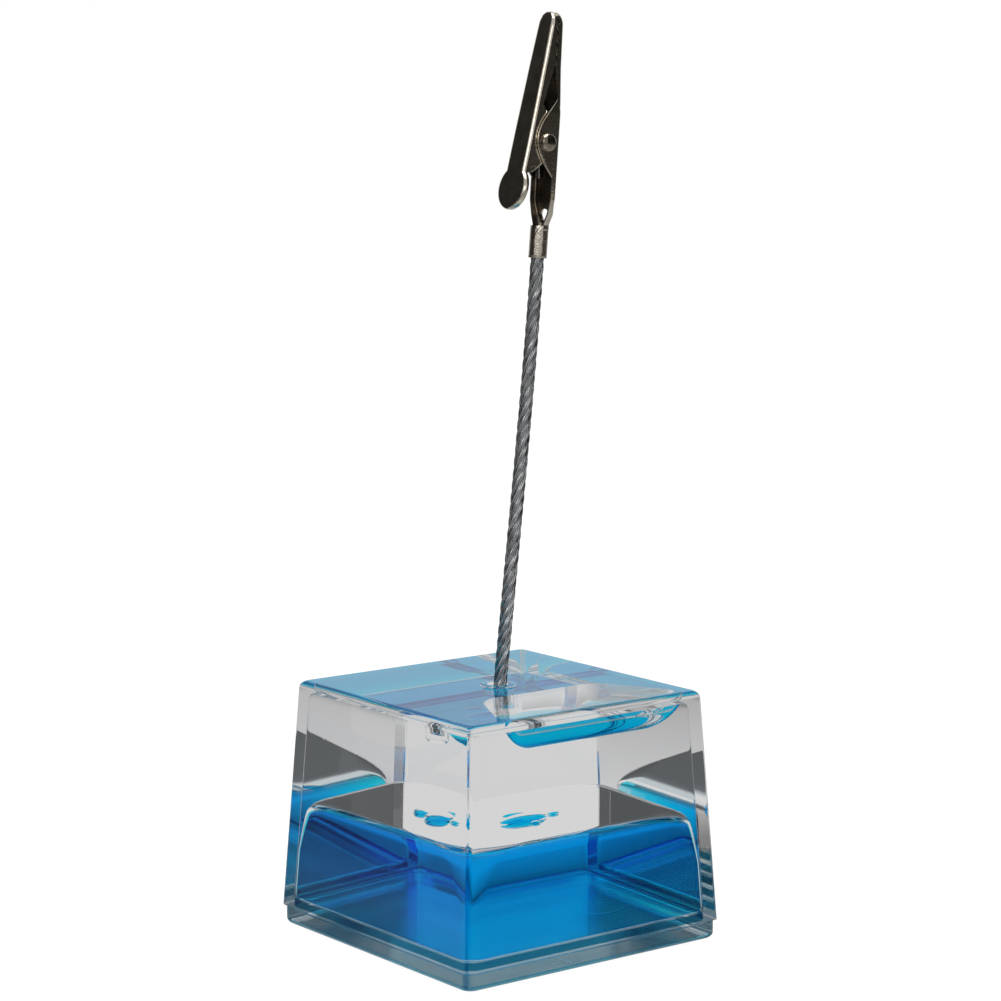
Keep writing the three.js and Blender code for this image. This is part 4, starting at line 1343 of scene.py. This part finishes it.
SENSOR_WIDTH, CLIP_START = 36, mm(10)
MAX_BOUNCES, CLEAR_BOUNCES, METAL_BOUNCES = 40, 36, 12
FLOOR_STEPS = 96
# Glow of the dark cards by height in metres, as metal and as clear pieces show them: painted light
# and shade of the studio's dark sides
CARD_GLOW_IN_METAL = {0.035: 0.25, 0.06: 0.05, 0.1: 0.03, 0.22: 0.01}
CARD_GLOW_IN_CLEAR = {0.03: 0.25, 0.06: 0.08, 0.12: 0.065, 0.17: 0.09, 0.26: 0.12, 0.33: 0.55}
# Painted contact shadow: where the floor round the base turns darker and lighter again, over its
# reach
SHADOW_FROM, SHADOW, SHADOW_TO, SHADOW_END = 0.25, 0.26, 0.34, 0.5


class MEMO_OT_stage(bpy.types.Operator):
    """Sets the floor, the dark cards, the lamps and the camera"""
    bl_idname = "memo_holder.stage"
    bl_label = "Stage"

    def execute(self, context):
        look = context.scene.memo_holder.stage
        scene = context.scene
        scene.view_settings.view_transform = "Standard"
        scene.cycles.max_bounces = MAX_BOUNCES
        scene.cycles.transmission_bounces = CLEAR_BOUNCES
        scene.cycles.glossy_bounces = METAL_BOUNCES
        flat = Vector((-math.sin(look.azimuth), math.cos(look.azimuth), 0))
        down = Vector((0, 0, -math.sin(look.elevation)))
        forward = flat * math.cos(look.elevation) + down
        right = Vector((math.cos(look.azimuth), math.sin(look.azimuth), 0))
        self.camera(scene, look, forward, right)
        self.floor(look, right)
        self.flags(look, right)
        self.world(scene, look)
        self.lamps(look, flat, right)
        return {"FINISHED"}

    def camera(self, scene, look, forward, right):
        data = bpy.data.cameras.new("photo_camera")
        data.lens = look.lens
        data.sensor_width = SENSOR_WIDTH
        data.clip_start = CLIP_START
        camera = add_object("photo_camera", data)
        turn = Matrix((right, right.cross(forward), -forward)).transposed()
        aim = Vector((0, 0, look.aim_height)) + right * look.aim_side
        camera.matrix_world = Matrix.Translation(aim - forward * look.distance) @ turn.to_4x4()
        scene.camera = camera

    def floor(self, look, right):
        material, tree, shader, vector = new_material("pale_floor")
        feed(shader, {"Base Color": (*look.floor_tone, 1)})
        worn(tree, vector, shader, (0.7, 0.8), STAGE_WEAR)
        aside = place(
            tree, "ShaderNodeVectorMath", {0: vector, 1: right}, operation="DOT_PRODUCT")
        across = rescale(tree, aside.outputs["Value"], -look.side_reach, look.side_reach)
        even = look.side_even / look.side_reach / 2
        # Painted shade: the floor darker to the left and right of the object, in what metal and
        # clear pieces show
        side_shade = ramp(tree, across, {
            0: look.left, 0.5 - even: look.through, 0.5 + even: look.through, 1: look.right})
        size = place(tree, "ShaderNodeVectorMath", {0: vector}, operation="ABSOLUTE")
        sides = place(tree, "ShaderNodeSeparateXYZ", {"Vector": size.outputs["Vector"]}).outputs
        # Painted contact shadow in a ring round the base, in what metal and clear pieces show
        out = rescale(tree, calculate(tree, "MAXIMUM", sides["X"], sides["Y"]), 0, look.contact_shadow_reach)
        contact_shadow = ramp(tree, out, {SHADOW_FROM: 1, SHADOW: look.contact_shadow, SHADOW_TO: look.contact_shadow, SHADOW_END: 1})
        path = place(tree, "ShaderNodeLightPath").outputs
        bent = calculate(tree, "MAXIMUM", path["Is Glossy Ray"], path["Is Transmission Ray"])
        seen = calculate(tree, "MAXIMUM", path["Is Camera Ray"], bent)
        floor_shade = calculate(tree, "MULTIPLY", contact_shadow, side_shade)
        level = rescale(tree, path["Is Camera Ray"], 0, 1, floor_shade, look.white)
        glow = place(tree, "ShaderNodeEmission", {"Color": (*look.floor, 1), "Strength": level})
        both = place(tree, "ShaderNodeMixShader", {
            "Fac": calculate(tree, "MULTIPLY", seen, look.glow),
            1: shader.outputs["BSDF"], 2: glow.outputs["Emission"]})
        feed(tree.nodes["Material Output"], {"Surface": both.outputs["Shader"]})
        bm = bmesh.new()
        bmesh.ops.create_circle(
            bm, cap_ends=True, segments=FLOOR_STEPS, radius=look.floor_radius,
            matrix=Matrix.Translation((0, 0, -look.floor_drop)))
        self.stage_piece(bm, "pale_floor", material)

    def stage_piece(self, bm, name, material):
        piece = add_object(name, mesh_of(bm, name, [material]))
        return piece

    def flags(self, look, right):
        # Cards seen only by metal and clear pieces: glowing dark sheets that paint the studio's
        # dark sides, lighter or darker by height
        material, tree, shader, vector = new_material("dark_card")
        worn(tree, vector, shader, (0.8, 0.9), STAGE_WEAR)
        height = place(tree, "ShaderNodeSeparateXYZ", {"Vector": vector}).outputs["Z"]
        in_metal = ramp(tree, height, CARD_GLOW_IN_METAL, look.flag)
        in_clear = ramp(tree, height, CARD_GLOW_IN_CLEAR, look.clear_flag)
        path = place(tree, "ShaderNodeLightPath").outputs
        shade = mix(tree, path["Is Transmission Ray"], in_metal, in_clear)
        feed(shader, {
            "Base Color": (0, 0, 0, 1), "Emission Strength": 1, "Emission Color": shade})
        tall = (look.flag_height - look.flag_foot) / 2
        stand = (
            Matrix.Rotation(look.azimuth + math.pi / 2, 4, "Z")
            @ Matrix.Rotation(math.pi / 2, 4, "X"))
        for name, side in (("dark_card_left", -1), ("dark_card_right", 1)):
            bm = bmesh.new()
            verts = bmesh.ops.create_grid(bm, x_segments=1, y_segments=1, size=1)["verts"]
            bmesh.ops.scale(bm, vec=(look.flag_length / 2, tall, 1), verts=verts)
            at = right * side * look.flag_distance + Vector((0, 0, look.flag_foot + tall))
            bmesh.ops.transform(bm, matrix=Matrix.Translation(at) @ stand, verts=verts)
            card = self.stage_piece(bm, name, material)
            card.visible_camera = False
            card.visible_shadow = False
            card.visible_diffuse = False

    def world(self, scene, look):
        world = bpy.data.worlds.new("studio")
        world.use_nodes = True
        scene.world = world
        tree = world.node_tree
        path = place(tree, "ShaderNodeLightPath").outputs
        level = rescale(tree, path["Is Camera Ray"], 0, 1, look.sky, 1)
        feed(tree.nodes["Background"], {"Color": (*look.floor, 1), "Strength": level})

    def lamps(self, look, flat, right):
        aim = Vector((0, 0, look.aim_height))
        above = Vector((0, 0, look.overhead_height)) - flat * look.overhead_back
        beside = aim - flat * look.front_distance - right * look.front_left
        beside.z += look.front_rise
        spots = (
            ("overhead", look.overhead, look.overhead_size, look.overhead_size, above),
            ("front", look.front, look.front_width, look.front_depth, beside),
        )
        for name, power, width, depth, at in spots:
            data = bpy.data.lights.new(name, "AREA")
            data.shape = "RECTANGLE"
            data.size = width
            data.size_y = depth
            data.energy = power
            lamp = add_object(name, data)
            lamp.visible_transmission = False
            lamp.location = at
            lamp.rotation_euler = (aim - at).to_track_quat("-Z", "Y").to_euler()


# Panel

OPERATORS = (
    MEMO_OT_case, MEMO_OT_base_plate, MEMO_OT_water, MEMO_OT_oil, MEMO_OT_stem,
    MEMO_OT_fixed_jaw, MEMO_OT_moving_jaw, MEMO_OT_rivet, MEMO_OT_spring, MEMO_OT_stage,
)


class VIEW3D_PT_memo_holder(bpy.types.Panel):
    """Lists the pieces and the stage"""
    bl_label = "Memo holder"
    bl_space_type = "VIEW_3D"
    bl_region_type = "UI"
    bl_category = "Memo holder"

    def draw(self, context):
        for operator in OPERATORS:
            self.layout.operator(operator.bl_idname)


CLASSES = (
    BaseSizes, FillingSizes, StemSizes, ClipSizes, StageLook, MemoHolder, *OPERATORS,
    VIEW3D_PT_memo_holder,
)


def register():
    for cls in CLASSES:
        bpy.utils.register_class(cls)
    bpy.types.Scene.memo_holder = PointerProperty(type=MemoHolder)


def unregister():
    del bpy.types.Scene.memo_holder
    for cls in reversed(CLASSES):
        bpy.utils.unregister_class(cls)


def main():
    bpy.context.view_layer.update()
    register()
    bpy.ops.memo_holder.stage()
    bpy.ops.memo_holder.case()
    bpy.ops.memo_holder.base_plate()
    bpy.ops.memo_holder.water()
    bpy.ops.memo_holder.oil()
    bpy.ops.memo_holder.stem()
    bpy.ops.memo_holder.fixed_jaw()
    bpy.ops.memo_holder.moving_jaw()
    bpy.ops.memo_holder.rivet()
    bpy.ops.memo_holder.spring()
    bpy.context.view_layer.update()


if __name__ == "__main__":
    main()
